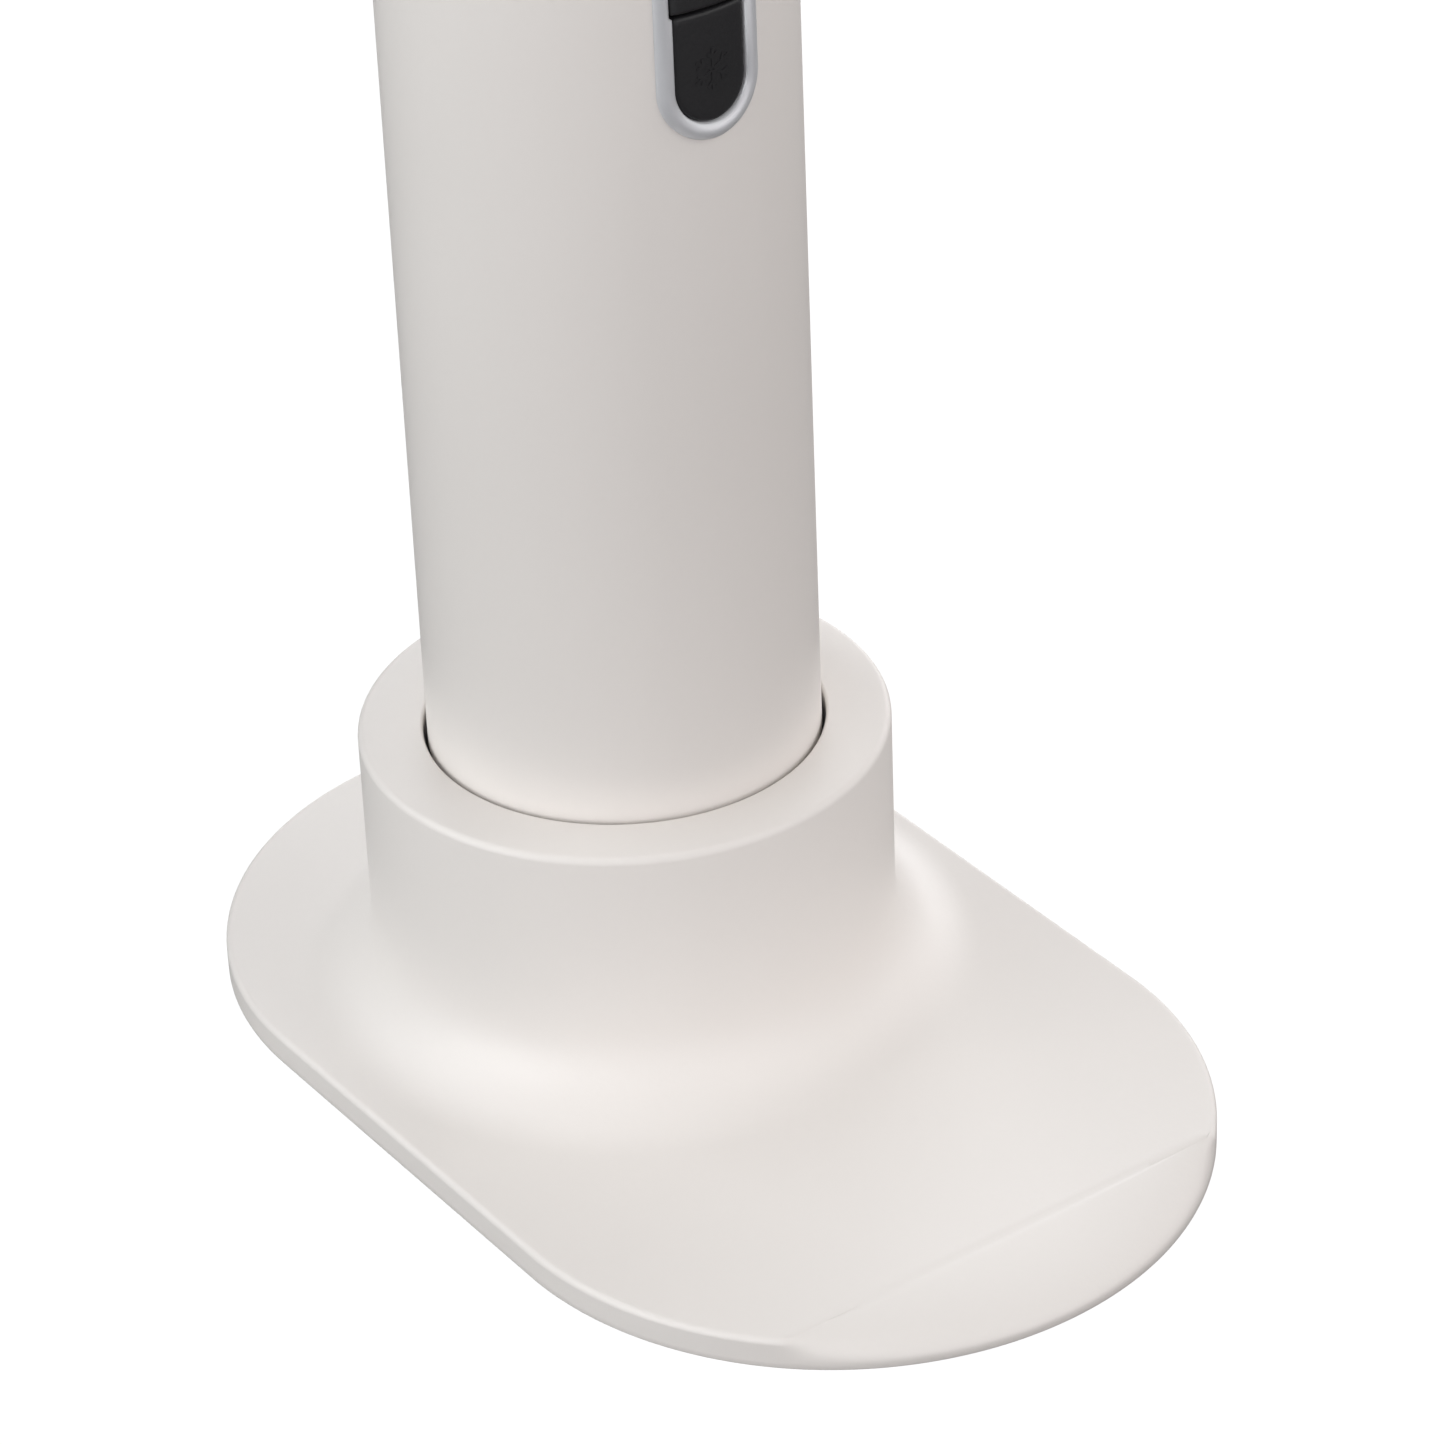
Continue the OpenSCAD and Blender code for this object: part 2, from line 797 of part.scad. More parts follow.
module thermostat() {
  color([0.75, 0.75, 0.7])
    on_wand()
      rotate([0, 0, 45])
        translate([7, mica_t / 2 + slip, heater_z + heater_len - 12])
          rotate([-90, 0, 0]) cylinder(r = 4, h = 4);
}

module thermal_fuse() {
  color([0.82, 0.82, 0.8])
    on_wand()
      rotate([0, 0, 45])
        translate([-7, -mica_t / 2 - slip - 1.4, heater_z + 14]) cylinder(r = 1.4, h = 10);
}

module outlet_grille() {
  out_r = throat_r - slip;
  color([0.25, 0.25, 0.26])
    on_wand() {
      for (r = [out_r, out_r * 0.68, out_r * 0.37]) tube(r, r - 1.1, heater_top + 0.2, 2);
      intersection() {
        for (a = [0 : 60 : 120])
          rotate([0, 0, a])
            translate([-out_r, -0.5, heater_top + 0.2]) cube([2 * out_r, 1, 2]);
        tube(out_r - 0.5, out_r * 0.37 - 0.6, heater_top, 3);
      }
    }
}

// Sleeve at the upper end: the heater shield seats below, attachments plug in above
module outlet_sleeve() {
  color([0.12, 0.12, 0.13])
    on_wand()
      difference() {
        union() {
          translate([0, 0, sleeve_z]) cylinder(r = sleeve_r, h = outlet_len);
          translate([0, 0, sleeve_z]) cylinder(r = tube_in - press_fit, h = tube_top - sleeve_z - 1);
        }
        translate([0, 0, sleeve_z - 1]) cylinder(r = shield_r + run_fit, h = heater_top - sleeve_z + 1);
        translate([0, 0, heater_top - 1]) cylinder(r = throat_r, h = outlet_len);
        translate([0, 0, socket_z]) cylinder(r = socket_r, h = outlet_len);
      }
}

// Turning ring that locks an attachment
module lock_ring() {
  color([0.78, 0.79, 0.8])
    on_wand() tube(handle_r, sleeve_r + run_fit, ring_z, ring_h);
}

module end_ring() {
  color([0.93, 0.92, 0.9])
    on_wand()
      difference() {
        translate([0, 0, wand_len - cap_h]) round_disc(handle_r, cap_h, 1);
        translate([0, 0, wand_len - cap_h - 1]) cylinder(r = sleeve_r + press_fit, h = cap_h + 2);
      }
}

stand_shell();
ballast_plate();
base_pad();
ballast_screws();
rest_ring();
handle_tube();
filter_cage();
filter_mesh();
cord_boss();
cord_gland();
intake_frame();
motor_dampers();
motor_can();
impeller();
diffuser();
bearings();
shaft();
rotor_magnet();
stator_core();
stator_coils();
bearing_bridge();
motor_board();
duct_seal();
air_duct();
panel_trim();
panel_frame();
control_board();
board_screws();
cool_switch();
cool_plunger();
cool_button();
slide_switch();
switch_lever();
slide_thumb();
slide_track();
heater_shield();
mica_frame();
heater_coil();
thermostat();
thermal_fuse();
outlet_grille();
outlet_sleeve();
lock_ring();
end_ring();
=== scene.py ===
"""Looks of a hot-air hair styler wand that stands in its weighted desk stand.

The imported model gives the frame. Every piece is meshed here in millimetres, in the model's own
frame, and turned into metres when it is finished.
"""

import sys

import json
import logging
import math
from collections.abc import Callable, Sequence
from dataclasses import dataclass, field
from enum import Enum

import bmesh
import bpy
from mathutils import Matrix, Vector


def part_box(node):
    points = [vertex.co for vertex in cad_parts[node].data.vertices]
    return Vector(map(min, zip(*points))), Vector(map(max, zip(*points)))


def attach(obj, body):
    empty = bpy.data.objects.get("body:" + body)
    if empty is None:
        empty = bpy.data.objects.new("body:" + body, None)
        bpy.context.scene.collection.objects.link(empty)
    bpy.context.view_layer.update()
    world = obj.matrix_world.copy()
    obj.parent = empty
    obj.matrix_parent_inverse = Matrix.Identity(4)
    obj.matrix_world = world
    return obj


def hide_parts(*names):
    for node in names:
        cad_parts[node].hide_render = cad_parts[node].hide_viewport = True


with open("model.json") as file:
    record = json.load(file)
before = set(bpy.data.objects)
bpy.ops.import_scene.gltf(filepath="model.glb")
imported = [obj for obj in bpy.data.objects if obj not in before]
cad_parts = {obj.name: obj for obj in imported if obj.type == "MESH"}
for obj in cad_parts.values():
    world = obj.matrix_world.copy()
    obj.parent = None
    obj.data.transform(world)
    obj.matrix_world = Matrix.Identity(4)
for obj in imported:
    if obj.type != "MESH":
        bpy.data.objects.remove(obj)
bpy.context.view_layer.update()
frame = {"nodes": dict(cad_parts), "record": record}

LOG = logging.getLogger("styler")
MM = 0.001
TINY = 1e-6  # millimetres, under which a length counts as none
MERGE = 1e-4  # millimetres, under which two vertices become one
Point = tuple[float, float]
Profile = Sequence[Point]
Place = Callable[[int], Vector]


class Slot(Enum):
    """Material slots of the record that a piece takes its finish from."""

    SHELL = "white_shell"
    TRIM = "silver_trim"
    KEY = "black_key"
    DARK = "dark_plastic"
    RUBBER = "dark_rubber"
    STEEL = "steel"
    ALUMINIUM = "bare_aluminium"
    COPPER = "copper_wire"
    BOARD = "circuit_board"
    DUCT = "duct_plastic"
    MICA = "mica"
    WIRE = "heating_wire"
    CERAMIC = "ceramic"


@dataclass(frozen=True)
class Span:
    """A node's box at rest, in millimetres."""

    low: Vector
    high: Vector

    @classmethod
    def of(cls, node: str) -> "Span":
        """Reads the box of a CAD node.

        Args:
            node: the node's name.

        Returns:
            The node's box in millimetres.
        """
        low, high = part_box(node)
        return cls(low / MM, high / MM)

    @property
    def mid(self) -> Vector:
        """Centre of the box."""
        return (self.low + self.high) / 2

    @property
    def half_x(self) -> float:
        """Half of the box's width."""
        return (self.high.x - self.low.x) / 2


HANDLE = Span.of("handle_tube")
AXIS_Y = HANDLE.mid.y
HANDLE_R = HANDLE.half_x


# ---------------------------------------------------------------- meshing


def arc(centre: Point, radius: float, start: float, end: float, steps: int) -> list[Point]:
    """Points along an arc of a profile.

    Args:
        centre: centre of the arc in the profile's plane.
        radius: radius of the arc.
        start: first angle in degrees.
        end: last angle in degrees.
        steps: number of stretches.

    Returns:
        The arc's points, both ends included.
    """
    turns = [math.radians(start + (end - start) * i / steps) for i in range(steps + 1)]
    return [(centre[0] + radius * math.cos(t), centre[1] + radius * math.sin(t)) for t in turns]


class Shape:
    """A mesh in millimetres that bmesh operators grow from a ring, a profile or a block."""

    def __init__(self) -> None:
        """Starts an empty mesh."""
        self.bm = bmesh.new()
        self.order = self.bm.verts.layers.int.new("order")
        self.rim: list[bmesh.types.BMEdge] = []

    def ring(self, count: int, place: Place) -> "Shape":
        """Starts a closed rim of vertices.

        Args:
            count: number of vertices.
            place: gives a vertex's place from its number in the rim.

        Returns:
            The shape itself.
        """
        made = bmesh.ops.create_circle(self.bm, cap_ends=False, radius=1, segments=count)["verts"]
        for number, vert in enumerate(made):
            vert[self.order] = number
            vert.co = place(number)
        self.rim = list({edge for vert in made for edge in vert.link_edges})
        return self

    def grow(self, place: Place) -> "Shape":
        """Extrudes the rim by one row of faces.

        Args:
            place: gives each new vertex's place from its number in the rim.

        Returns:
            The shape itself.
        """
        made = bmesh.ops.extrude_edge_only(self.bm, edges=self.rim)["geom"]
        verts = {item for item in made if isinstance(item, bmesh.types.BMVert)}
        for vert in verts:
            vert.co = place(vert[self.order])
        self.rim = [
            item for item in made
            if isinstance(item, bmesh.types.BMEdge) and set(item.verts) <= verts
        ]
        return self

    def cap(self) -> "Shape":
        """Closes every open rim with a flat face."""
        open_edges = [edge for edge in self.bm.edges if edge.is_boundary]
        bmesh.ops.holes_fill(self.bm, edges=open_edges, sides=0)
        return self

    def spun(self, profile: Profile, steps: int = 192, closed: bool = True) -> "Shape":
        """Spins a profile of (radius, height) points around the wand's axis.

        Args:
            profile: the points in order.
            steps: number of stretches around.
            closed: whether the last point joins the first.

        Returns:
            The shape itself.
        """
        verts = [self.bm.verts.new((radius, 0, height)) for radius, height in profile]
        pairs = list(zip(verts, verts[1:] + verts[:1])) if closed else list(zip(verts, verts[1:]))
        edges = [self.bm.edges.new(pair) for pair in pairs]
        bmesh.ops.spin(
            self.bm, geom=verts + edges, cent=(0, 0, 0), axis=(0, 0, 1),
            angle=math.tau, steps=steps, use_merge=True, use_duplicate=False,
        )
        bmesh.ops.remove_doubles(self.bm, verts=self.bm.verts, dist=MERGE)
        return self

    def block(self, low: Sequence[float], high: Sequence[float], turn: Matrix | None = None) -> "Shape":
        """Adds a box.

        Args:
            low: lowest corner.
            high: highest corner.
            turn: a transform that follows, if any.

        Returns:
            The shape itself.
        """
        low, high = Vector(low), Vector(high)
        size = Matrix.Diagonal((*(high - low), 1))
        place = Matrix.Translation((low + high) / 2) @ size
        bmesh.ops.create_cube(self.bm, size=1, matrix=(turn or Matrix()) @ place)
        return self

    def shift(self, x: float = 0, y: float = 0, z: float = 0) -> "Shape":
        """Moves the whole mesh."""
        bmesh.ops.translate(self.bm, vec=(x, y, z), verts=self.bm.verts)
        return self

    def done(self, name: str, sharp: float = 35) -> bpy.types.Object:
        """Turns the mesh into an object in metres.

        Args:
            name: the object's name.
            sharp: angle in degrees past which an edge stays sharp.

        Returns:
            The new object, linked to the scene.
        """
        bmesh.ops.recalc_face_normals(self.bm, faces=self.bm.faces)
        bmesh.ops.scale(self.bm, vec=(MM, MM, MM), verts=self.bm.verts)
        for face in self.bm.faces:
            face.smooth = True
        mesh = bpy.data.meshes.new(name)
        self.bm.to_mesh(mesh)
        self.bm.free()
        mesh.set_sharp_from_angle(angle=math.radians(sharp))
        piece = bpy.data.objects.new(name, mesh)
        bpy.context.scene.collection.objects.link(piece)
        return piece


def carve(piece: bpy.types.Object, cutter: Shape, sharp: float = 35) -> bpy.types.Object:
    """Cuts a volume out of a piece.

    Args:
        piece: the object that loses the volume.
        cutter: the volume in millimetres.
        sharp: angle in degrees past which an edge stays sharp.

    Returns:
        The piece, with its mesh replaced.
    """
    tool = cutter.done("carving_tool")
    cut = piece.modifiers.new("carve", "BOOLEAN")
    cut.operation = "DIFFERENCE"
    cut.solver = "EXACT"
    cut.object = tool
    seen = piece.evaluated_get(bpy.context.evaluated_depsgraph_get())
    mesh = bpy.data.meshes.new_from_object(seen)
    piece.modifiers.clear()
    piece.data = mesh
    mesh.name = piece.name
    bpy.data.objects.remove(tool)
    mesh.set_sharp_from_angle(angle=math.radians(sharp))
    return piece


def round_box(low: Point, high: Point, radius: float, steps: int = 4) -> list[Point]:
    """Outline of a ring's cross-section, a rectangle with round corners.

    Args:
        low: inner radius and lower height.
        high: outer radius and upper height.
        radius: radius of the corners.
        steps: stretches in each corner.

    Returns:
        The outline's points in order.
    """
    (x0, z0), (x1, z1) = low, high
    return (
        arc((x1 - radius, z0 + radius), radius, -90, 0, steps)
        + arc((x1 - radius, z1 - radius), radius, 0, 90, steps)
        + arc((x0 + radius, z1 - radius), radius, 90, 180, steps)
        + arc((x0 + radius, z0 + radius), radius, 180, 270, steps)
    )


def on_barrel(x: float, z: float, radius: float) -> Vector:
    """Point on the front of a cylinder around the wand's axis.

    Args:
        x: place across.
        z: height.
        radius: the cylinder's radius.

    Returns:
        The point in the model's frame.
    """
    return Vector((x, AXIS_Y - math.sqrt(radius * radius - x * x), z))


# ---------------------------------------------------------------- shader groups


class Pattern(Enum):
    """Shader node groups that more than one finish uses."""

    GRAIN = "fine_grain"
    CLOUD = "soft_cloud"
    SPECK = "dust_specks"
    BRUSH = "brushed_lines"


class Patterns:
    """Builds each shared shader node group once."""

    def __init__(self) -> None:
        """Starts with no group made."""
        self.made: dict[Pattern, bpy.types.ShaderNodeTree] = {}

    def get(self, pattern: Pattern) -> bpy.types.ShaderNodeTree:
        """Gives a group, and makes it when it is first asked for.

        Args:
            pattern: which group.

        Returns:
            The group's node tree.
        """
        if pattern not in self.made:
            maker = {
                Pattern.GRAIN: self._grain, Pattern.CLOUD: self._cloud,
                Pattern.SPECK: self._speck, Pattern.BRUSH: self._brush,
            }[pattern]
            self.made[pattern] = maker(pattern.value)
        return self.made[pattern]

    @staticmethod
    def _start(
        name: str, inputs: dict[str, float], outputs: Sequence[str]
    ) -> tuple[bpy.types.ShaderNodeTree, bpy.types.Node, bpy.types.Node]:
        """Makes an empty group with a Vector input, value inputs and value outputs.

        Args:
            name: the group's name.
            inputs: label and first value of each value input.
            outputs: label of each value output.

        Returns:
            The group's node tree, its input node and its output node.
        """
        tree = bpy.data.node_groups.new(name, "ShaderNodeTree")
        tree.interface.new_socket("Vector", in_out="INPUT", socket_type="NodeSocketVector")
        for label, value in inputs.items():
            socket = tree.interface.new_socket(label, in_out="INPUT", socket_type="NodeSocketFloat")
            socket.default_value = value
        for label in outputs:
            tree.interface.new_socket(label, in_out="OUTPUT", socket_type="NodeSocketFloat")
        return tree, tree.nodes.new("NodeGroupInput"), tree.nodes.new("NodeGroupOutput")

    def _grain(self, name: str) -> bpy.types.ShaderNodeTree:
        """Moulding grain: Height for a bump, Tone near one half for the colour.

        Args:
            name: the group's name.

        Returns:
            The group's node tree.
        """
        tree, source, sink = self._start(name, {"Scale": 900.0}, ("Height", "Tone"))
        fine = tree.nodes.new("ShaderNodeTexNoise")
        fine.inputs["Detail"].default_value = 3.0
        fine.inputs["Roughness"].default_value = 0.55
        tree.links.new(source.outputs["Vector"], fine.inputs["Vector"])
        tree.links.new(source.outputs["Scale"], fine.inputs["Scale"])
        spread = tree.nodes.new("ShaderNodeMapRange")
        spread.inputs["From Min"].default_value = 0.3
        spread.inputs["From Max"].default_value = 0.7
        tree.links.new(fine.outputs["Fac"], spread.inputs["Value"])
        tree.links.new(spread.outputs["Result"], sink.inputs["Height"])
        tree.links.new(fine.outputs["Fac"], sink.inputs["Tone"])
        return tree

    def _cloud(self, name: str) -> bpy.types.ShaderNodeTree:
        """Slow drift of tone and gloss over a moulding, from 0 to 1.

        Args:
            name: the group's name.

        Returns:
            The group's node tree.
        """
        tree, source, sink = self._start(name, {"Scale": 18.0}, ("Drift",))
        slow = tree.nodes.new("ShaderNodeTexNoise")
        slow.inputs["Detail"].default_value = 2.0
        tree.links.new(source.outputs["Vector"], slow.inputs["Vector"])
        tree.links.new(source.outputs["Scale"], slow.inputs["Scale"])
        spread = tree.nodes.new("ShaderNodeMapRange")
        spread.interpolation_type = "SMOOTHSTEP"
        spread.inputs["From Min"].default_value = 0.32
        spread.inputs["From Max"].default_value = 0.68
        tree.links.new(slow.outputs["Fac"], spread.inputs["Value"])
        tree.links.new(spread.outputs["Result"], sink.inputs["Drift"])
        return tree

    def _speck(self, name: str) -> bpy.types.ShaderNodeTree:
        """Rare small specks: Mask is 1 on a speck.

        Args:
            name: the group's name.

        Returns:
            The group's node tree.
        """
        tree, source, sink = self._start(name, {"Scale": 160.0, "Share": 0.02, "Size": 0.12}, ("Mask",))
        cells = tree.nodes.new("ShaderNodeTexVoronoi")
        cells.feature = "F1"
        tree.links.new(source.outputs["Vector"], cells.inputs["Vector"])
        tree.links.new(source.outputs["Scale"], cells.inputs["Scale"])
        tint = tree.nodes.new("ShaderNodeSeparateColor")
        tree.links.new(cells.outputs["Color"], tint.inputs["Color"])
        chosen = tree.nodes.new("ShaderNodeMath")
        chosen.operation = "LESS_THAN"
        tree.links.new(tint.outputs["Red"], chosen.inputs[0])
        tree.links.new(source.outputs["Share"], chosen.inputs[1])
        near = tree.nodes.new("ShaderNodeMath")
        near.operation = "LESS_THAN"
        tree.links.new(cells.outputs["Distance"], near.inputs[0])
        tree.links.new(source.outputs["Size"], near.inputs[1])
        both = tree.nodes.new("ShaderNodeMath")
        both.operation = "MULTIPLY"
        tree.links.new(chosen.outputs["Value"], both.inputs[0])
        tree.links.new(near.outputs["Value"], both.inputs[1])
        tree.links.new(both.outputs["Value"], sink.inputs["Mask"])
        return tree

    def _brush(self, name: str) -> bpy.types.ShaderNodeTree:
        """Fine lines that run around the wand: Height and Tone.

        Args:
            name: the group's name.

        Returns:
            The group's node tree.
        """
        tree, source, sink = self._start(name, {"Scale": 60.0, "Stretch": 40.0}, ("Height", "Tone"))
        split = tree.nodes.new("ShaderNodeSeparateXYZ")
        tree.links.new(source.outputs["Vector"], split.inputs["Vector"])
        tall = tree.nodes.new("ShaderNodeMath")
        tall.operation = "MULTIPLY"
        tree.links.new(split.outputs["Z"], tall.inputs[0])
        tree.links.new(source.outputs["Stretch"], tall.inputs[1])
        joined = tree.nodes.new("ShaderNodeCombineXYZ")
        tree.links.new(split.outputs["X"], joined.inputs["X"])
        tree.links.new(split.outputs["Y"], joined.inputs["Y"])
        tree.links.new(tall.outputs["Value"], joined.inputs["Z"])
        lines = tree.nodes.new("ShaderNodeTexNoise")
        lines.inputs["Detail"].default_value = 4.0
        tree.links.new(joined.outputs["Vector"], lines.inputs["Vector"])
        tree.links.new(source.outputs["Scale"], lines.inputs["Scale"])
        tree.links.new(lines.outputs["Fac"], sink.inputs["Height"])
        tree.links.new(lines.outputs["Fac"], sink.inputs["Tone"])
        return tree


PATTERNS = Patterns()


@dataclass(frozen=True)
class Finish:
    """A surface finish: a body colour with grain, drift of tone, specks and bump."""

    slot: Slot
    colour: tuple[float, float, float]
    roughness: float = 0.45
    metallic: float = 0.0
    grain_scale: float = 900.0
    grain_depth: float = 0.02
    tone_depth: float = 0.03
    gloss_drift: float = 0.04
    speck_share: float = 0.0
    speck_colour: tuple[float, float, float] = (0.35, 0.3, 0.26)
    brushed: bool = False
    coat: float = 0.0
    coat_roughness: float = 0.1
    specular: float = 0.5

    def build(self) -> bpy.types.Material:
        """Makes the finish's material.

        Returns:
            The material.
        """
        material = bpy.data.materials.new(self.slot.value)
        material.use_nodes = True
        tree = material.node_tree
        shader = tree.nodes["Principled BSDF"]
        shader.inputs["Metallic"].default_value = self.metallic
        shader.inputs["Specular IOR Level"].default_value = self.specular
        shader.inputs["Coat Weight"].default_value = self.coat
        shader.inputs["Coat Roughness"].default_value = self.coat_roughness
        place = tree.nodes.new("ShaderNodeTexCoord").outputs["Object"]
        texture = self._group(tree, Pattern.BRUSH if self.brushed else Pattern.GRAIN, place)
        texture.inputs["Scale"].default_value = self.grain_scale
        drift = self._group(tree, Pattern.CLOUD, place)
        colour = self._tone(tree, texture.outputs["Tone"], drift.outputs["Drift"])
        if self.speck_share > 0:
            colour = self._specks(tree, place, colour)
        tree.links.new(colour, shader.inputs["Base Color"])
        gloss = tree.nodes.new("ShaderNodeMapRange")
        gloss.inputs["To Min"].default_value = self.roughness - self.gloss_drift
        gloss.inputs["To Max"].default_value = self.roughness + self.gloss_drift
        tree.links.new(drift.outputs["Drift"], gloss.inputs["Value"])
        tree.links.new(gloss.outputs["Result"], shader.inputs["Roughness"])
        bump = tree.nodes.new("ShaderNodeBump")
        bump.inputs["Strength"].default_value = 1.0
        bump.inputs["Distance"].default_value = self.grain_depth * MM
        tree.links.new(texture.outputs["Height"], bump.inputs["Height"])
        tree.links.new(bump.outputs["Normal"], shader.inputs["Normal"])
        return material

    @staticmethod
    def _group(
        tree: bpy.types.NodeTree, pattern: Pattern, place: bpy.types.NodeSocket
    ) -> bpy.types.Node:
        """Places a shared group in a material and feeds it the coordinates.

        Args:
            tree: the material's node tree.
            pattern: which group.
            place: the coordinates.

        Returns:
            The group's node in the material.
        """
        node = tree.nodes.new("ShaderNodeGroup")
        node.node_tree = PATTERNS.get(pattern)
        tree.links.new(place, node.inputs["Vector"])
        return node

    def _tone(
        self, tree: bpy.types.NodeTree, grain: bpy.types.NodeSocket, drift: bpy.types.NodeSocket
    ) -> bpy.types.NodeSocket:
        """Mixes the colour between a darker and a lighter tone by grain and drift.

        Args:
            tree: the material's node tree.
            grain: the grain's tone.
            drift: the drift over the surface.

        Returns:
            The mixed colour.
        """
        both = tree.nodes.new("ShaderNodeMath")
        both.operation = "ADD"
        tree.links.new(grain, both.inputs[0])
        tree.links.new(drift, both.inputs[1])
        halved = tree.nodes.new("ShaderNodeMath")
        halved.operation = "MULTIPLY"
        halved.inputs[1].default_value = 0.5
        tree.links.new(both.outputs["Value"], halved.inputs[0])
        mix = tree.nodes.new("ShaderNodeMix")
        mix.data_type = "RGBA"
        mix.inputs["A"].default_value = (*[c * (1 - self.tone_depth) for c in self.colour], 1)
        mix.inputs["B"].default_value = (*[min(1.0, c * (1 + self.tone_depth)) for c in self.colour], 1)
        tree.links.new(halved.outputs["Value"], mix.inputs["Factor"])
        return mix.outputs["Result"]

    def _specks(
        self, tree: bpy.types.NodeTree, place: bpy.types.NodeSocket, colour: bpy.types.NodeSocket
    ) -> bpy.types.NodeSocket:
        """Lays a few dust specks over the colour.

        Args:
            tree: the material's node tree.
            place: the coordinates.
            colour: the colour under the specks.

        Returns:
            The colour with its specks.
        """
        node = self._group(tree, Pattern.SPECK, place)
        node.inputs["Share"].default_value = self.speck_share
        mix = tree.nodes.new("ShaderNodeMix")
        mix.data_type = "RGBA"
        mix.inputs["B"].default_value = (*self.speck_colour, 1)
        tree.links.new(node.outputs["Mask"], mix.inputs["Factor"])
        tree.links.new(colour, mix.inputs["A"])
        return mix.outputs["Result"]


FINISHES = (
    Finish(
        Slot.SHELL, (0.82, 0.785, 0.755), roughness=0.5, grain_scale=1500.0, grain_depth=0.004,
        tone_depth=0.012, gloss_drift=0.03, speck_share=0.004, coat=0.25, coat_roughness=0.4,
    ),
    Finish(
        Slot.TRIM, (0.64, 0.65, 0.675), roughness=0.42, metallic=0.3, grain_scale=1200.0,
        grain_depth=0.004, tone_depth=0.03,
    ),
    Finish(
        Slot.KEY, (0.011, 0.011, 0.0125), roughness=0.5, grain_scale=2200.0, grain_depth=0.012,
        tone_depth=0.15,
    ),
    Finish(
        Slot.DARK, (0.03, 0.03, 0.033), roughness=0.5, grain_scale=1800.0, grain_depth=0.02,
        tone_depth=0.12,
    ),
    Finish(
        Slot.RUBBER, (0.026, 0.026, 0.028), roughness=0.78, grain_scale=1100.0, grain_depth=0.03,
        tone_depth=0.15, specular=0.3, speck_share=0.02, speck_colour=(0.2, 0.19, 0.18),
    ),
    Finish(
        Slot.STEEL, (0.52, 0.53, 0.55), roughness=0.34, metallic=1.0, grain_scale=45.0,
        grain_depth=0.01, tone_depth=0.08, brushed=True,
    ),
    Finish(
        Slot.ALUMINIUM, (0.68, 0.69, 0.71), roughness=0.32, metallic=1.0, grain_scale=50.0,
        grain_depth=0.008, tone_depth=0.06, brushed=True,
    ),
    Finish(
        Slot.COPPER, (0.62, 0.24, 0.09), roughness=0.3, metallic=1.0, grain_scale=90.0,
        brushed=True, coat=0.6,
    ),
    Finish(
        Slot.BOARD, (0.012, 0.11, 0.05), roughness=0.3, grain_scale=700.0, tone_depth=0.2,
        grain_depth=0.02, coat=0.4,
    ),
    Finish(Slot.DUCT, (0.6, 0.58, 0.52), roughness=0.5, grain_scale=1200.0, tone_depth=0.05),
    Finish(
        Slot.MICA, (0.5, 0.43, 0.3), roughness=0.4, grain_scale=320.0, grain_depth=0.05,
        tone_depth=0.25, speck_share=0.2, speck_colour=(0.75, 0.7, 0.58),
    ),
    Finish(Slot.WIRE, (0.36, 0.31, 0.27), roughness=0.42, metallic=1.0, grain_scale=500.0, tone_depth=0.2),
    Finish(Slot.CERAMIC, (0.72, 0.7, 0.65), roughness=0.38, grain_scale=600.0, tone_depth=0.05),
)


class Paint:
    """Gives pieces and CAD nodes their finishes."""

    def __init__(self) -> None:
        """Builds every finish once."""
        self.materials = {finish.slot: finish.build() for finish in FINISHES}

    def dress(
        self, piece: bpy.types.Object, slot: Slot, body: str, *nodes: str
    ) -> bpy.types.Object:
        """Finishes a new piece and hands it to a body.

        Args:
            piece: the new piece.
            slot: its finish.
            body: the CAD body that it rides on.
            nodes: the CAD nodes that it stands for.

        Returns:
            The piece.
        """
        piece.data.materials.clear()
        piece.data.materials.append(self.materials[slot])
        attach(piece, body)
        if nodes:
            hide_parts(*nodes)
        LOG.info("%s: %d faces on %s", piece.name, len(piece.data.polygons), body)
        return piece

    def coat_nodes(self) -> None:
        """Gives every CAD node that still shows the finish of its own slot."""
        for entry in frame["record"]["subparts"]:
            node = frame["nodes"][entry["node"]]
            material = self.materials[Slot(entry["material_slot"])]
            node.data.materials.clear()
            node.data.materials.append(material)
            LOG.info("%s: carried over as %s", node.name, entry["material_slot"])


# ---------------------------------------------------------------- stand


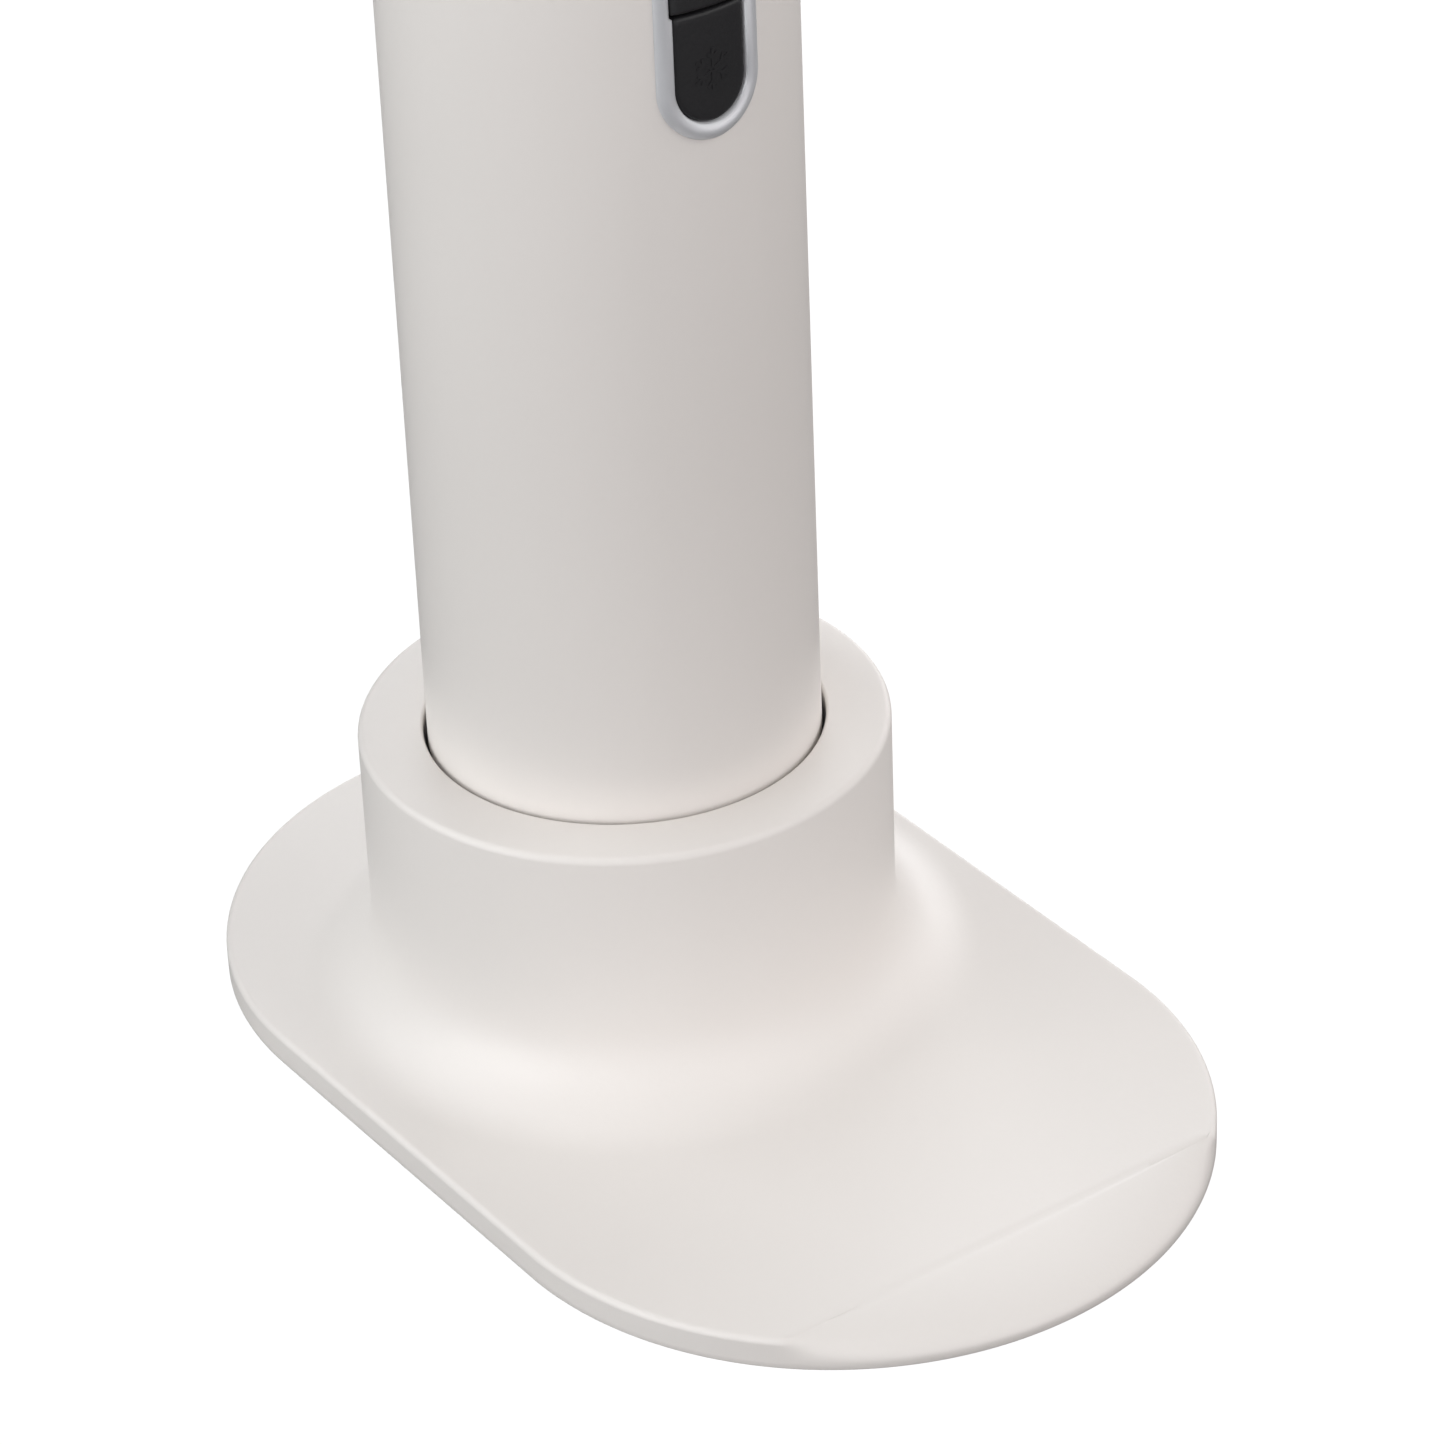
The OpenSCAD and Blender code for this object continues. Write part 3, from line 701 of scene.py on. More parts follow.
@dataclass
class Stand:
    """The plate with its nose, the collar and what lies in the socket."""

    paint: Paint
    body: str = "stand"
    count: int = 240
    plate_top: float = 3.8
    edge: float = 0.7
    nose_len: float = 11.5
    lip: float = 1.1
    rim_lift: float = 0.3
    foot_edge: float = 0.25
    foot_bow: Point = (0.08, 0.06)
    fillet: float = 9.0
    collar_wall: float = 6.95
    collar_edge: float = 0.8
    socket_edge: float = 0.35
    floor_z: float = 4.5
    slot_half: float = 5.0
    groove_depth: float = 0.14
    groove_half: float = 0.5
    pocket_gap: float = 0.3
    skin: float = 1.3
    rest_width: float = 7.4
    above: float = 60.0
    span: Span = field(default_factory=lambda: Span.of("stand_shell"))

    def __post_init__(self) -> None:
        """Works out what follows from the frame."""
        self.radius = self.span.half_x
        self.end_y = self.span.high.y - self.radius
        self.crease = self.span.low.y + self.nose_len
        self.collar_in = HANDLE_R + 0.45
        self.collar_out = self.collar_in + self.collar_wall

    def turn(self, number: int) -> float:
        """Angle of a rim vertex, from +X."""
        return math.tau * number / self.count

    def outline(self, number: int, inset: float, height: float) -> Vector:
        """Point of the plate's plain outline.

        Args:
            number: the vertex's number in the rim.
            inset: how far the outline is drawn in.
            height: height over the table.

        Returns:
            The point.
        """
        angle = self.turn(number)
        reach = self.radius - inset
        side = self.end_y if math.sin(angle) > -TINY else -self.end_y
        return Vector((reach * math.cos(angle), side + reach * math.sin(angle), height))

    def sloped(self, number: int, fall: float, inset: float, height: float, back: float = 0) -> Vector:
        """Point of the outline where the nose draws the front back to the crease.

        Args:
            number: the vertex's number in the rim.
            fall: 1 at the foot of the nose and 0 at the crease.
            inset: how far the rounded edge draws the outline in.
            height: height over the table.
            back: how far past the crease the front has moved.

        Returns:
            The point.
        """
        point = self.outline(number, inset, height)
        reach = self.radius - inset
        depth = -self.crease - self.end_y
        half = math.sqrt(reach * reach - depth * depth)
        line = self.crease + back
        if point.y >= line or abs(point.x) > half + TINY:
            return point
        sag = fall * (reach - depth)
        dip = 0.0
        if sag > TINY:
            bow = (half * half + sag * sag) / (2 * sag)
            dip = max(0.0, sag - bow + math.sqrt(max(0.0, bow * bow - point.x * point.x)))
        point.y = line - dip
        return point

    def edge_inset(self, height: float) -> float:
        """How far the rounded top edge draws the wall in at a height."""
        rise = max(0.0, height - self.plate_top + self.edge)
        return self.edge - math.sqrt(max(0.0, self.edge ** 2 - rise ** 2))

    def circle(self, radius: float, height: float) -> Place:
        """Rim of the collar at a radius and a height.

        Args:
            radius: the rim's radius.
            height: its height over the table.

        Returns:
            What gives each vertex's place from its number in the rim.
        """
        def place(number: int) -> Vector:
            """Point of the rim."""
            angle = self.turn(number)
            return Vector((radius * math.cos(angle), AXIS_Y + radius * math.sin(angle), height))

        return place

    def plate(self, shape: Shape) -> None:
        """Grows the plate's wall, its nose and its top edge.

        Args:
            shape: the moulding, still empty.
        """
        foot, (bow_in, bow_up) = self.rim_lift, self.foot_bow
        shape.ring(self.count, lambda n: self.outline(n, self.foot_edge, foot))
        shape.grow(lambda n: self.outline(n, bow_in, foot + bow_up))
        shape.grow(lambda n: self.outline(n, 0, foot + self.foot_edge))
        rows = 30
        for row in range(rows):
            angle = math.radians(90 * row / rows)
            height = self.lip + (self.plate_top - self.lip) * math.sin(angle)
            inset = self.edge_inset(height)
            shape.grow(lambda n, f=math.cos(angle), i=inset, h=height: self.sloped(n, f, i, h))
        # each row's distance past the crease, its drop and how far in it lies
        rims = ((0.0, self.groove_depth, 0.02), (self.groove_half, 0.0, 0.1), (1.2, 0.0, 0.3))
        for back, drop, inset in rims:
            shape.grow(lambda n, b=back, d=drop, i=inset: self.grooved(n, b, d, self.edge + i))

    def grooved(self, number: int, back: float, drop: float, inset: float) -> Vector:
        """Point of the top's rim, let down where it runs along the crease.

        Args:
            number: the vertex's number in the rim.
            back: how far past the crease the front has moved.
            drop: how far the rim is let down.
            inset: how far the outline is drawn in.

        Returns:
            The point.
        """
        point = self.sloped(number, 0, inset, self.plate_top, back)
        if abs(point.y - self.crease - back) < TINY:
            point.z -= drop
        return point

    def collar(self, shape: Shape) -> None:
        """Grows the sweep up from the plate, the collar and its bore.

        Args:
            shape: the moulding, grown as far as the plate's top.
        """
        sweep = 14
        for row in range(sweep + 1):
            angle = math.radians(90 * row / sweep)
            radius = self.collar_out + self.fillet * (1 - math.sin(angle))
            height = self.plate_top + self.fillet * (1 - math.cos(angle))
            shape.grow(self.circle(radius, height))
        top, edge, mouth = self.span.high.z, self.collar_edge, self.socket_edge
        profile = arc((self.collar_out - edge, top - edge), edge, 0, 90, 6)
        profile += arc((self.collar_in + mouth, top - mouth), mouth, 90, 180, 4)
        profile.append((self.collar_in, self.floor_z))
        for radius, height in profile:
            shape.grow(self.circle(radius, height))

    def shell(self) -> bpy.types.Object:
        """Builds the moulding, then cuts its pocket and the cord slot."""
        shape = Shape()
        self.plate(shape)
        self.collar(shape)
        shape.cap()
        piece = shape.done("stand_moulding", sharp=40)
        pad, gap, under = Span.of("base_pad"), self.pocket_gap, -1
        pocket = Shape().ring(self.count, lambda n: self.pocket_point(n, pad, gap, under))
        pocket.grow(lambda n: self.pocket_point(n, pad, gap, self.plate_top - self.skin)).cap()
        carve(piece, pocket, sharp=40)
        carve(piece, self.cord_slot(self.floor_z), sharp=40)
        return self.paint.dress(piece, Slot.SHELL, self.body, "stand_shell")

    def cord_slot(self, floor: float) -> Shape:
        """Volume of the cord slot at the back, above a floor."""
        return Shape().block(
            (-self.slot_half, AXIS_Y, floor), (self.slot_half, self.span.high.y, self.above)
        )

    def pocket_point(self, number: int, pad: Span, gap: float, height: float) -> Vector:
        """Point of the pocket's outline, a gap outside the pad.

        Args:
            number: the vertex's number in the rim.
            pad: the pad's box.
            gap: distance from the pad's side.
            height: height over the table.

        Returns:
            The point.
        """
        point = self.outline(number, self.radius - pad.half_x - gap, height)
        point.y = max(point.y, pad.low.y - gap)
        return point

    def rest(self) -> bpy.types.Object:
        """Builds the rubber ring that the wand rests on, open at the back for the cord."""
        span = Span.of("rest_ring")
        inner, top = self.collar_in - self.rest_width, span.high.z
        depth, width, lean, first, pitch, corner = 0.35, 0.8, 0.2, 1.4, 1.6, 0.5
        starts = [inner + first + pitch * row for row in range(3)]
        grooves = [
            (start + across, top - drop)
            for start in reversed(starts)
            for across, drop in ((width, 0.0), (width - lean, depth), (lean, depth), (0.0, 0.0))
        ]
        profile = round_box((inner, span.low.z), (span.half_x, top), corner)
        outer = len(profile) // 2
        profile = profile[:outer] + grooves + profile[outer:]
        piece = Shape().spun(profile).shift(y=AXIS_Y).done("rest_ring_soft")
        carve(piece, self.cord_slot(0))
        return self.paint.dress(piece, Slot.RUBBER, self.body, "rest_ring")

    def pad(self) -> bpy.types.Object:
        """Builds the rubber pad under the plate, with two moulded grooves on its underside."""
        span = Span.of("base_pad")
        soft, groove, deep, lean = 0.25, 0.9, 0.35, 0.3
        shape = Shape().ring(self.count, lambda n: self.pocket_point(n, span, 0, span.high.z))
        shape.grow(lambda n: self.pocket_point(n, span, 0, soft))
        shape.grow(lambda n: self.pocket_point(n, span, -0.1 * soft, 0.3 * soft))
        shape.grow(lambda n: self.pocket_point(n, span, -soft, 0))
        for start in (3.0, 6.5):
            for inset, height in ((0, 0), (lean, deep), (groove - lean, deep), (groove, 0)):
                shape.grow(lambda n, i=start + inset, h=height: self.pocket_point(n, span, -i, h))
        piece = shape.cap().done("base_pad_grooved", sharp=30)
        return self.paint.dress(piece, Slot.RUBBER, self.body, "base_pad")

    def build(self) -> None:
        """Builds every piece of the stand."""
        self.shell()
        self.rest()
        self.pad()


# ---------------------------------------------------------------- handle


@dataclass
class Handle:
    """The wand's tube, its lower end and its upper end."""

    paint: Paint
    body: str = "wand"
    steps: int = 240
    edge: float = 0.25
    opening_count: int = 96
    opening_lap: float = 0.1
    socket_depth: float = 19.5
    sleeve_step: float = 0.28
    sleeve_wall: float = 2.18
    ring_lap: float = 0.25
    trim: Span = field(default_factory=lambda: Span.of("panel_trim"))

    @property
    def socket_floor(self) -> float:
        """Height of the ledge at the bottom of the socket for attachments."""
        return Span.of("end_ring").high.z - self.socket_depth

    def tube(self) -> bpy.types.Object:
        """Builds the tube with the opening for the control panel."""
        inner = Span.of("intake_frame").half_x
        shape = Shape().spun(
            round_box((inner, HANDLE.low.z), (HANDLE_R, HANDLE.high.z), self.edge), self.steps
        )
        piece = shape.shift(y=AXIS_Y).done("handle_tube_fine")
        inside, outside = 0.5, HANDLE_R + 5
        opening = Shape().ring(self.opening_count, lambda n: self.pill(n, inside))
        carve(piece, opening.grow(lambda n: self.pill(n, outside)).cap())
        return self.paint.dress(piece, Slot.SHELL, self.body, "handle_tube")

    def pill(self, number: int, depth: float) -> Vector:
        """Point of the panel's opening, an upright pill in front of the axis.

        Args:
            number: the vertex's number in the rim.
            depth: distance in front of the axis.

        Returns:
            The point.
        """
        half = self.trim.half_x - self.opening_lap
        low, high = self.trim.low.z + self.opening_lap, self.trim.high.z - self.opening_lap
        angle = math.tau * (number + 0.5) / self.opening_count
        middle = high - half if math.sin(angle) > 0 else low + half
        return Vector((half * math.cos(angle), AXIS_Y - depth, middle + half * math.sin(angle)))

    def lock_ring(self) -> bpy.types.Object:
        """Builds the locking ring with its fluted grip."""
        span = Span.of("lock_ring")
        bore = span.half_x - (Span.of("outlet_sleeve").half_x - self.ring_lap)
        flutes, per_flute = 60, 8
        count = flutes * per_flute

        def wall(depth: float, inset: float, height: float) -> Place:
            """Fluted rim at a height.

            Args:
                depth: depth of the flutes.
                inset: how far the whole rim is drawn in.
                height: height over the table.

            Returns:
                What gives each vertex's place from its number in the rim.
            """
            def place(number: int) -> Vector:
                """Point of the rim.

                Args:
                    number: the vertex's number in the rim.

                Returns:
                    The point.
                """
                angle = math.tau * number / count
                cut = depth * (0.5 - 0.5 * math.cos(flutes * angle)) ** 3
                radius = span.half_x - inset - cut
                return Vector((radius * math.cos(angle), AXIS_Y + radius * math.sin(angle), height))

            return place

        low, high = span.low.z, span.high.z
        edge, bow, start, full, flute = 0.4, 0.1, 1.6, 2.2, 0.45
        rows = (
            (0, edge, low), (0, bow, low + bow), (0, 0, low + edge),
            (0, 0, low + start), (flute, 0, low + full),
            (flute, 0, high - full), (0, 0, high - start),
            (0, 0, high - edge), (0, bow, high - bow), (0, edge, high), (0, bore, high),
        )
        shape = Shape().ring(count, wall(0, bore, low))
        for depth, inset, height in rows:
            shape.grow(wall(depth, inset, height))
        bmesh.ops.bridge_loops(shape.bm, edges=[e for e in shape.bm.edges if e.is_boundary])
        piece = shape.done("lock_ring_fluted", sharp=50)
        return self.paint.dress(piece, Slot.TRIM, "lock", "lock_ring")

    def end_ring(self) -> bpy.types.Object:
        """Builds the white ring at the upper end."""
        span = Span.of("end_ring")
        inner = Span.of("outlet_sleeve").half_x - self.sleeve_step
        low, high = span.low.z, span.high.z
        chamfer, crown = 0.2, 1
        profile = [(inner, low), (HANDLE_R - chamfer, low), (HANDLE_R, low + chamfer)]
        profile += arc((HANDLE_R - crown, high - crown), crown, 0, 90, 8) + [(inner, high)]
        piece = Shape().spun(profile, self.steps).shift(y=AXIS_Y).done("end_ring_round")
        return self.paint.dress(piece, Slot.SHELL, self.body, "end_ring")

    def sleeve(self) -> bpy.types.Object:
        """Builds the dark sleeve in the upper end, with its socket for attachments."""
        span = Span.of("outlet_sleeve")
        low, high, seat = span.low.z, span.high.z, self.socket_floor
        collar = span.half_x
        wall, throat = collar - self.sleeve_step, collar - self.sleeve_wall
        foot, foot_top, collar_top, lip = throat + 0.25, low + 2, low + 7, 0.5
        profile = [(foot, low), (collar, low), (collar, collar_top), (wall, collar_top)]
        profile += arc((wall - lip, high - lip), lip, 0, 90, 5)
        profile += arc((throat + 2 * lip, high - lip), lip, 90, 180, 5)
        profile += [(throat + lip, seat), (throat, seat), (throat, foot_top), (foot, foot_top)]
        piece = Shape().spun(profile, self.steps).shift(y=AXIS_Y).done("outlet_sleeve_fine")
        return self.paint.dress(piece, Slot.DARK, self.body, "outlet_sleeve")

    def build(self) -> None:
        """Builds the tube, the sleeve and the rings."""
        self.tube()
        self.sleeve()
        self.lock_ring()
        self.end_ring()


# ---------------------------------------------------------------- intake end


@dataclass
class IntakeEnd:
    """The filter cage and the cord gland at the wand's lower end."""

    paint: Paint
    slots: int = 20
    slot_half: float = 1.1
    slot_count: int = 16
    slot_foot: float = 2.0
    slot_head: float = 4.0
    wall: float = 1.4
    floor: float = 1.6
    spigot_len: float = 4.0
    spigot_wall: float = 1.25
    flange_out: float = 1.5
    flange_height: float = 1.6
    gland_wall: float = 1.75
    cage: Span = field(default_factory=lambda: Span.of("filter_cage"))
    gland: Span = field(default_factory=lambda: Span.of("cord_gland"))
    boss: Span = field(default_factory=lambda: Span.of("cord_boss"))

    def filter_cage(self) -> bpy.types.Object:
        """Builds the twist-off cage with a row of rounded air slots."""
        low, top = self.cage.low.z, self.cage.high.z
        chamfer, bend, lead, play, eye_gap = 0.2, 0.7, 0.3, 0.05, 0.3
        shoulder, floor = top - self.spigot_len, low + self.floor
        radius = self.cage.half_x
        inner = radius - self.wall
        spigot = Span.of("intake_frame").half_x - play
        spigot_in, under = spigot - self.spigot_wall, shoulder - self.wall
        eye = self.boss.half_x + eye_gap
        profile = [(eye, low + chamfer), (eye + chamfer, low)]
        profile += arc((radius - bend, low + bend), bend, -90, 0, 5)
        profile += arc((radius - chamfer, shoulder - chamfer), chamfer, 0, 90, 2)
        profile += [(spigot, shoulder), (spigot, top - lead), (spigot - lead, top)]
        profile += [(spigot_in, top), (spigot_in, under), (inner, under), (inner, floor), (eye, floor)]
        piece = Shape().spun(profile).shift(y=AXIS_Y).done("filter_cage_slotted")
        cutter = Shape()
        for slot in range(self.slots):
            turn = math.tau * (slot + 0.5) / self.slots
            spin = Matrix.Translation((0, AXIS_Y, 0)) @ Matrix.Rotation(turn, 4, "Z")
            self.slot_plug(cutter, spin, inner - 1, radius + 1)
        carve(piece, cutter)
        return self.paint.dress(piece, Slot.DARK, "filter", "filter_cage")

    def slot_plug(self, cutter: Shape, spin: Matrix, near: float, far: float) -> None:
        """Adds the plug that cuts one air slot.

        Args:
            cutter: the shape that gathers the plugs.
            spin: turn of the slot around the wand.
            near: distance of the plug's inner end from the axis.
            far: distance of its outer end.
        """
        half, count = self.slot_half, self.slot_count
        start = self.cage.low.z + self.floor + self.slot_foot
        end = self.cage.high.z - self.spigot_len - self.slot_head

        def place(reach: float) -> Place:
            """Outline of the plug at a distance from the axis.

            Args:
                reach: the distance.

            Returns:
                What gives each vertex's place from its number in the rim.
            """
            def at(number: int) -> Vector:
                """Point of the outline.

                Args:
                    number: the vertex's number in the rim.

                Returns:
                    The point.
                """
                angle = math.tau * (number + 0.5) / count
                middle = end - half if math.sin(angle) > 0 else start + half
                return spin @ Vector((reach, half * math.cos(angle), middle + half * math.sin(angle)))

            return at

        before = len(cutter.bm.edges)
        cutter.ring(count, place(near)).grow(place(far))
        cutter.bm.edges.ensure_lookup_table()
        rims = [e for e in cutter.bm.edges[before:] if e.is_boundary]
        bmesh.ops.holes_fill(cutter.bm, edges=rims, sides=0)

    def cord_gland(self) -> bpy.types.Object:
        """Builds the swivel gland with ribs on its flexible lower end."""
        low, top = self.gland.low.z, self.gland.high.z
        chamfer, ease, tip, narrow, taper = 0.2, 0.1, 1.3, 1.1, 0.17
        ribs, rib_foot, rib_pitch, rib_depth, rib_wall, rib_top = 3, 1.0, 1.6, 0.45, 0.7, 0.9
        flange = self.gland.half_x
        radius = flange - self.flange_out
        bore = radius - self.gland_wall
        knee, under = low + 6, top - self.flange_height
        profile = [(bore + chamfer, low), (radius - tip, low), (radius - narrow, low + chamfer)]
        for rib in range(ribs):
            foot = low + rib_foot + rib_pitch * rib
            swell = radius - narrow + taper * (foot - low)
            profile += [(swell, foot), (swell - rib_depth, foot + chamfer)]
            profile += [(swell - rib_depth, foot + rib_wall), (swell + ease, foot + rib_top)]
        profile += [(radius - ease, knee), (radius, knee + ease), (radius, under), (flange, under)]
        profile += [(flange, top - chamfer), (flange - chamfer, top), (bore + chamfer, top)]
        profile += [(bore, top - chamfer), (bore, low + chamfer)]
        piece = Shape().spun(profile, 96).shift(y=AXIS_Y).done("cord_gland_ribbed")
        return self.paint.dress(piece, Slot.DARK, "gland", "cord_gland")

    def build(self) -> None:
        """Builds the cage and the gland."""
        self.filter_cage()
        self.cord_gland()


# ---------------------------------------------------------------- control panel


@dataclass
class ControlPanel:
    """The silver trim with the cool-shot button and the speed switch inside it."""

    paint: Paint
    count: int = 100
    crest: float = 0.8
    hole_low: float = 4.2
    hole_high: float = 4.5
    step_ease: float = 0.12
    trim_seat: float = 1.7
    bottom_count: int = 48
    side_count: int = 4
    corner_count: int = 5
    top_count: int = 4
    corner: float = 0.5
    key_edge: float = 0.45
    key_height: float = 0.3
    key_depth: float = 2.2
    thumb_height: float = 1.0
    thumb_depth: float = 0.65
    thumb_edge: float = 0.4
    trim: Span = field(default_factory=lambda: Span.of("panel_trim"))
    cool: Span = field(default_factory=lambda: Span.of("cool_button"))
    thumb: Span = field(default_factory=lambda: Span.of("slide_thumb"))

    def __post_init__(self) -> None:
        """Works out what follows from the frame."""
        self.half = self.trim.half_x
        self.low_mid = self.trim.low.z + self.half
        self.high_mid = self.trim.high.z - self.half
        self.step_z = self.cool.high.z + 0.1

    def frame_point(self, number: int, low_half: float, high_half: float, radius: float) -> Vector:
        """Point of a trim outline that is wider above the button than beside it.

        Args:
            number: the vertex's number in the rim.
            low_half: half width beside the button.
            high_half: half width above it.
            radius: distance from the wand's axis.

        Returns:
            The point on the barrel.
        """
        arc_count = (self.count - 4) // 2
        if number < arc_count:
            angle = math.pi * number / (arc_count - 1)
            x, z = high_half * math.cos(angle), self.high_mid + high_half * math.sin(angle)
        elif number == arc_count:
            x, z = -high_half, self.step_z + self.step_ease
        elif number == arc_count + 1:
            x, z = -low_half, self.step_z - self.step_ease
        elif number < self.count - 2:
            angle = math.pi + math.pi * (number - arc_count - 2) / (arc_count - 1)
            x, z = low_half * math.cos(angle), self.low_mid + low_half * math.sin(angle)
        else:
            below = number == self.count - 2
            x = low_half if below else high_half
            z = self.step_z + (-self.step_ease if below else self.step_ease)
        return on_barrel(x, z, radius)

    def trim_ring(self) -> bpy.types.Object:
        """Builds the half-round metal trim around the controls."""
        base = HANDLE_R - self.trim_seat
        skirt = HANDLE_R - 0.05
        rows, start, sweep, fullness = 12, 0.08, 0.84, 0.6
        half = self.half
        shape = Shape().ring(self.count, lambda n: self.frame_point(n, half, half, base))
        for row in range(rows + 1):
            across = row / rows
            rise = self.crest * math.sin(math.pi * (start + sweep * across)) ** fullness
            low = half + (self.hole_low - half) * across
            high = half + (self.hole_high - half) * across
            shape.grow(lambda n, a=low, b=high, r=skirt + rise: self.frame_point(n, a, b, r))
        shape.grow(lambda n: self.frame_point(n, self.hole_low, self.hole_high, base))
        bmesh.ops.bridge_loops(shape.bm, edges=[e for e in shape.bm.edges if e.is_boundary])
        piece = shape.done("panel_trim_round", sharp=60)
        return self.paint.dress(piece, Slot.TRIM, "wand", "panel_trim")

    def cool_point(self, number: int, scale: float, inset: float, radius: float) -> Vector:
        """Point of the button's outline, round below and straight above.

        Args:
            number: the vertex's number in the rim.
            scale: share of the full size, about the middle of the button.
            inset: how far the outline is drawn in.
            radius: distance from the wand's axis.

        Returns:
            The point on the barrel.
        """
        half = self.cool.half_x - inset
        middle = self.cool.low.z + self.cool.half_x
        top = self.cool.high.z - inset
        corner, bend = self.corner, self.corner_count - 1
        climb = top - corner - middle
        # the vertex's number in each stretch: up the right, over the top, down the left
        right = number - self.bottom_count
        first = right - self.side_count
        across = first - self.corner_count
        second = across - self.top_count
        left = second - self.corner_count
        if right < 0:
            angle = math.pi + math.pi * number / (self.bottom_count - 1)
            x, z = half * math.cos(angle), middle + half * math.sin(angle)
        elif first < 0:
            x, z = half, middle + climb * (right + 1) / (self.side_count + 1)
        elif across < 0:
            angle = math.pi / 2 * first / bend
            x, z = half - corner + corner * math.cos(angle), top - corner + corner * math.sin(angle)
        elif second < 0:
            x, z = (half - corner) * (1 - 2 * (across + 1) / (self.top_count + 1)), top
        elif left < 0:
            angle = math.pi / 2 * (1 + second / bend)
            x, z = corner - half + corner * math.cos(angle), top - corner + corner * math.sin(angle)
        else:
            x, z = -half, top - corner - climb * (left + 1) / (self.side_count + 1)
        centre = (self.cool.low.z + self.cool.high.z) / 2
        return on_barrel(x * scale, centre + (z - centre) * scale, radius)

    def cool_button(self) -> bpy.types.Object:
        """Builds the button with its snowflake mark."""
        face, edge = HANDLE_R + self.key_height, self.key_edge
        count = self.bottom_count + 2 * (self.side_count + self.corner_count) + self.top_count
        shape = Shape().ring(count, lambda n: self.cool_point(n, 1, 0, face - self.key_depth))
        for angle in range(0, 91, 15):
            turn = math.radians(angle)
            inset, drop = edge * (1 - math.cos(turn)), edge * (1 - math.sin(turn))
            shape.grow(lambda n, i=inset, r=face - drop: self.cool_point(n, 1, i, r))
        for scale in (0.9, 0.78, 0.64, 0.5, 0.36, 0.22, 0.1):
            shape.grow(lambda n, s=scale: self.cool_point(n, s, edge, face))
        shape.cap()
        piece = shape.done("cool_button_marked", sharp=60)
        self.snowflake(face)
        return self.paint.dress(piece, Slot.KEY, "cool_key", "cool_button")

    def snowflake(self, face: float) -> bpy.types.Object:
        """Builds the raised snowflake mark: six arms, each with two branches.

        Args:
            face: distance of the button's face from the wand's axis.

        Returns:
            The mark.
        """
        size, half_width, rise, sunk = 2.2, 0.15, 0.07, -0.3
        fork_at, fork_size, fork_turn, gap = 0.55 * size, 0.36 * size, 48, 0.12
        centre = self.cool.low.z + 5.5
        shape = Shape()
        for arm in range(6):
            turn = Matrix.Rotation(math.radians(60 * arm), 4, "Y")
            shape.block((-half_width, -1, gap), (half_width, 0, size), turn)
            for side in (-1, 1):
                lean = Matrix.Rotation(math.radians(fork_turn * side), 4, "Y")
                fork = Matrix.Translation((0, 0, fork_at)) @ lean
                shape.block((-half_width, -1, 0.0), (half_width, 0, fork_size), turn @ fork)
        bmesh.ops.subdivide_edges(shape.bm, edges=shape.bm.edges, cuts=2, use_grid_fill=True)
        for vert in shape.bm.verts:
            height = rise if vert.co.y < -0.5 else sunk
            vert.co = on_barrel(vert.co.x, centre + vert.co.z, face + height)
        return self.paint.dress(shape.done("cool_mark", sharp=30), Slot.KEY, "cool_key")

    def thumb_piece(self) -> bpy.types.Object:
        """Builds the sliding thumb piece with its grip ridges."""
        across, along = 16, 112
        half, low, high = self.thumb.half_x, self.thumb.low.z, self.thumb.high.z
        face, deep = HANDLE_R + self.thumb_height, HANDLE_R - self.thumb_depth
        shape = Shape()
        bmesh.ops.create_grid(shape.bm, x_segments=across, y_segments=along, size=0.5)
        for vert in shape.bm.verts:
            x = 2 * half * vert.co.x
            z = (low + high) / 2 + (high - low) * vert.co.y
            vert.co = on_barrel(x, z, face - self.thumb_dip(x, z))
        rim = [e for e in shape.bm.edges if e.is_boundary]
        made = bmesh.ops.extrude_edge_only(shape.bm, edges=rim)["geom"]
        for vert in [v for v in made if isinstance(v, bmesh.types.BMVert)]:
            vert.co = on_barrel(vert.co.x, vert.co.z, deep)
        shape.cap()
        piece = shape.done("speed_thumb_ridged", sharp=60)
        return self.paint.dress(piece, Slot.KEY, "speed_slide", "slide_thumb")

    def thumb_dip(self, x: float, z: float) -> float:
        """How far the thumb piece's face lies under its crest.

        Args:
            x: place across.
            z: height.

        Returns:
            The depth of the rounded edge and of the grip ridges together.
        """
        edge, reach, margin, depth, pitch = self.thumb_edge, 4.6, 0.5, 0.16, 1.3
        border = min(self.thumb.half_x - abs(x), z - self.thumb.low.z, self.thumb.high.z - z)
        rounding = edge - math.sqrt(max(0.0, edge * edge - max(0.0, edge - border) ** 2))
        along = z - (self.thumb.low.z + self.thumb.high.z) / 2
        ridge = 0.0
        if abs(along) < reach and abs(x) < self.thumb.half_x - margin:
            ridge = depth * (1 - math.cos(math.tau * along / pitch))
        return rounding + ridge

    def build(self) -> None:
        """Builds the trim and the keys."""
        self.trim_ring()
        self.cool_button()
        self.thumb_piece()


# ---------------------------------------------------------------- studio


@dataclass(frozen=True)
class SoftBox:
    """A large soft lamp that looks at the object.

    azimuth is in degrees from the front, towards +X, and elevation in degrees over the floor.
    """

    azimuth: float
    elevation: float
    colour: tuple[float, float, float]

    @property
    def direction(self) -> Vector:
        """Direction from the object to the middle of the lamp."""
        turn, rise = math.radians(self.azimuth), math.radians(self.elevation)
        return Vector((math.sin(turn) * math.cos(rise), -math.cos(turn) * math.cos(rise), math.sin(rise)))


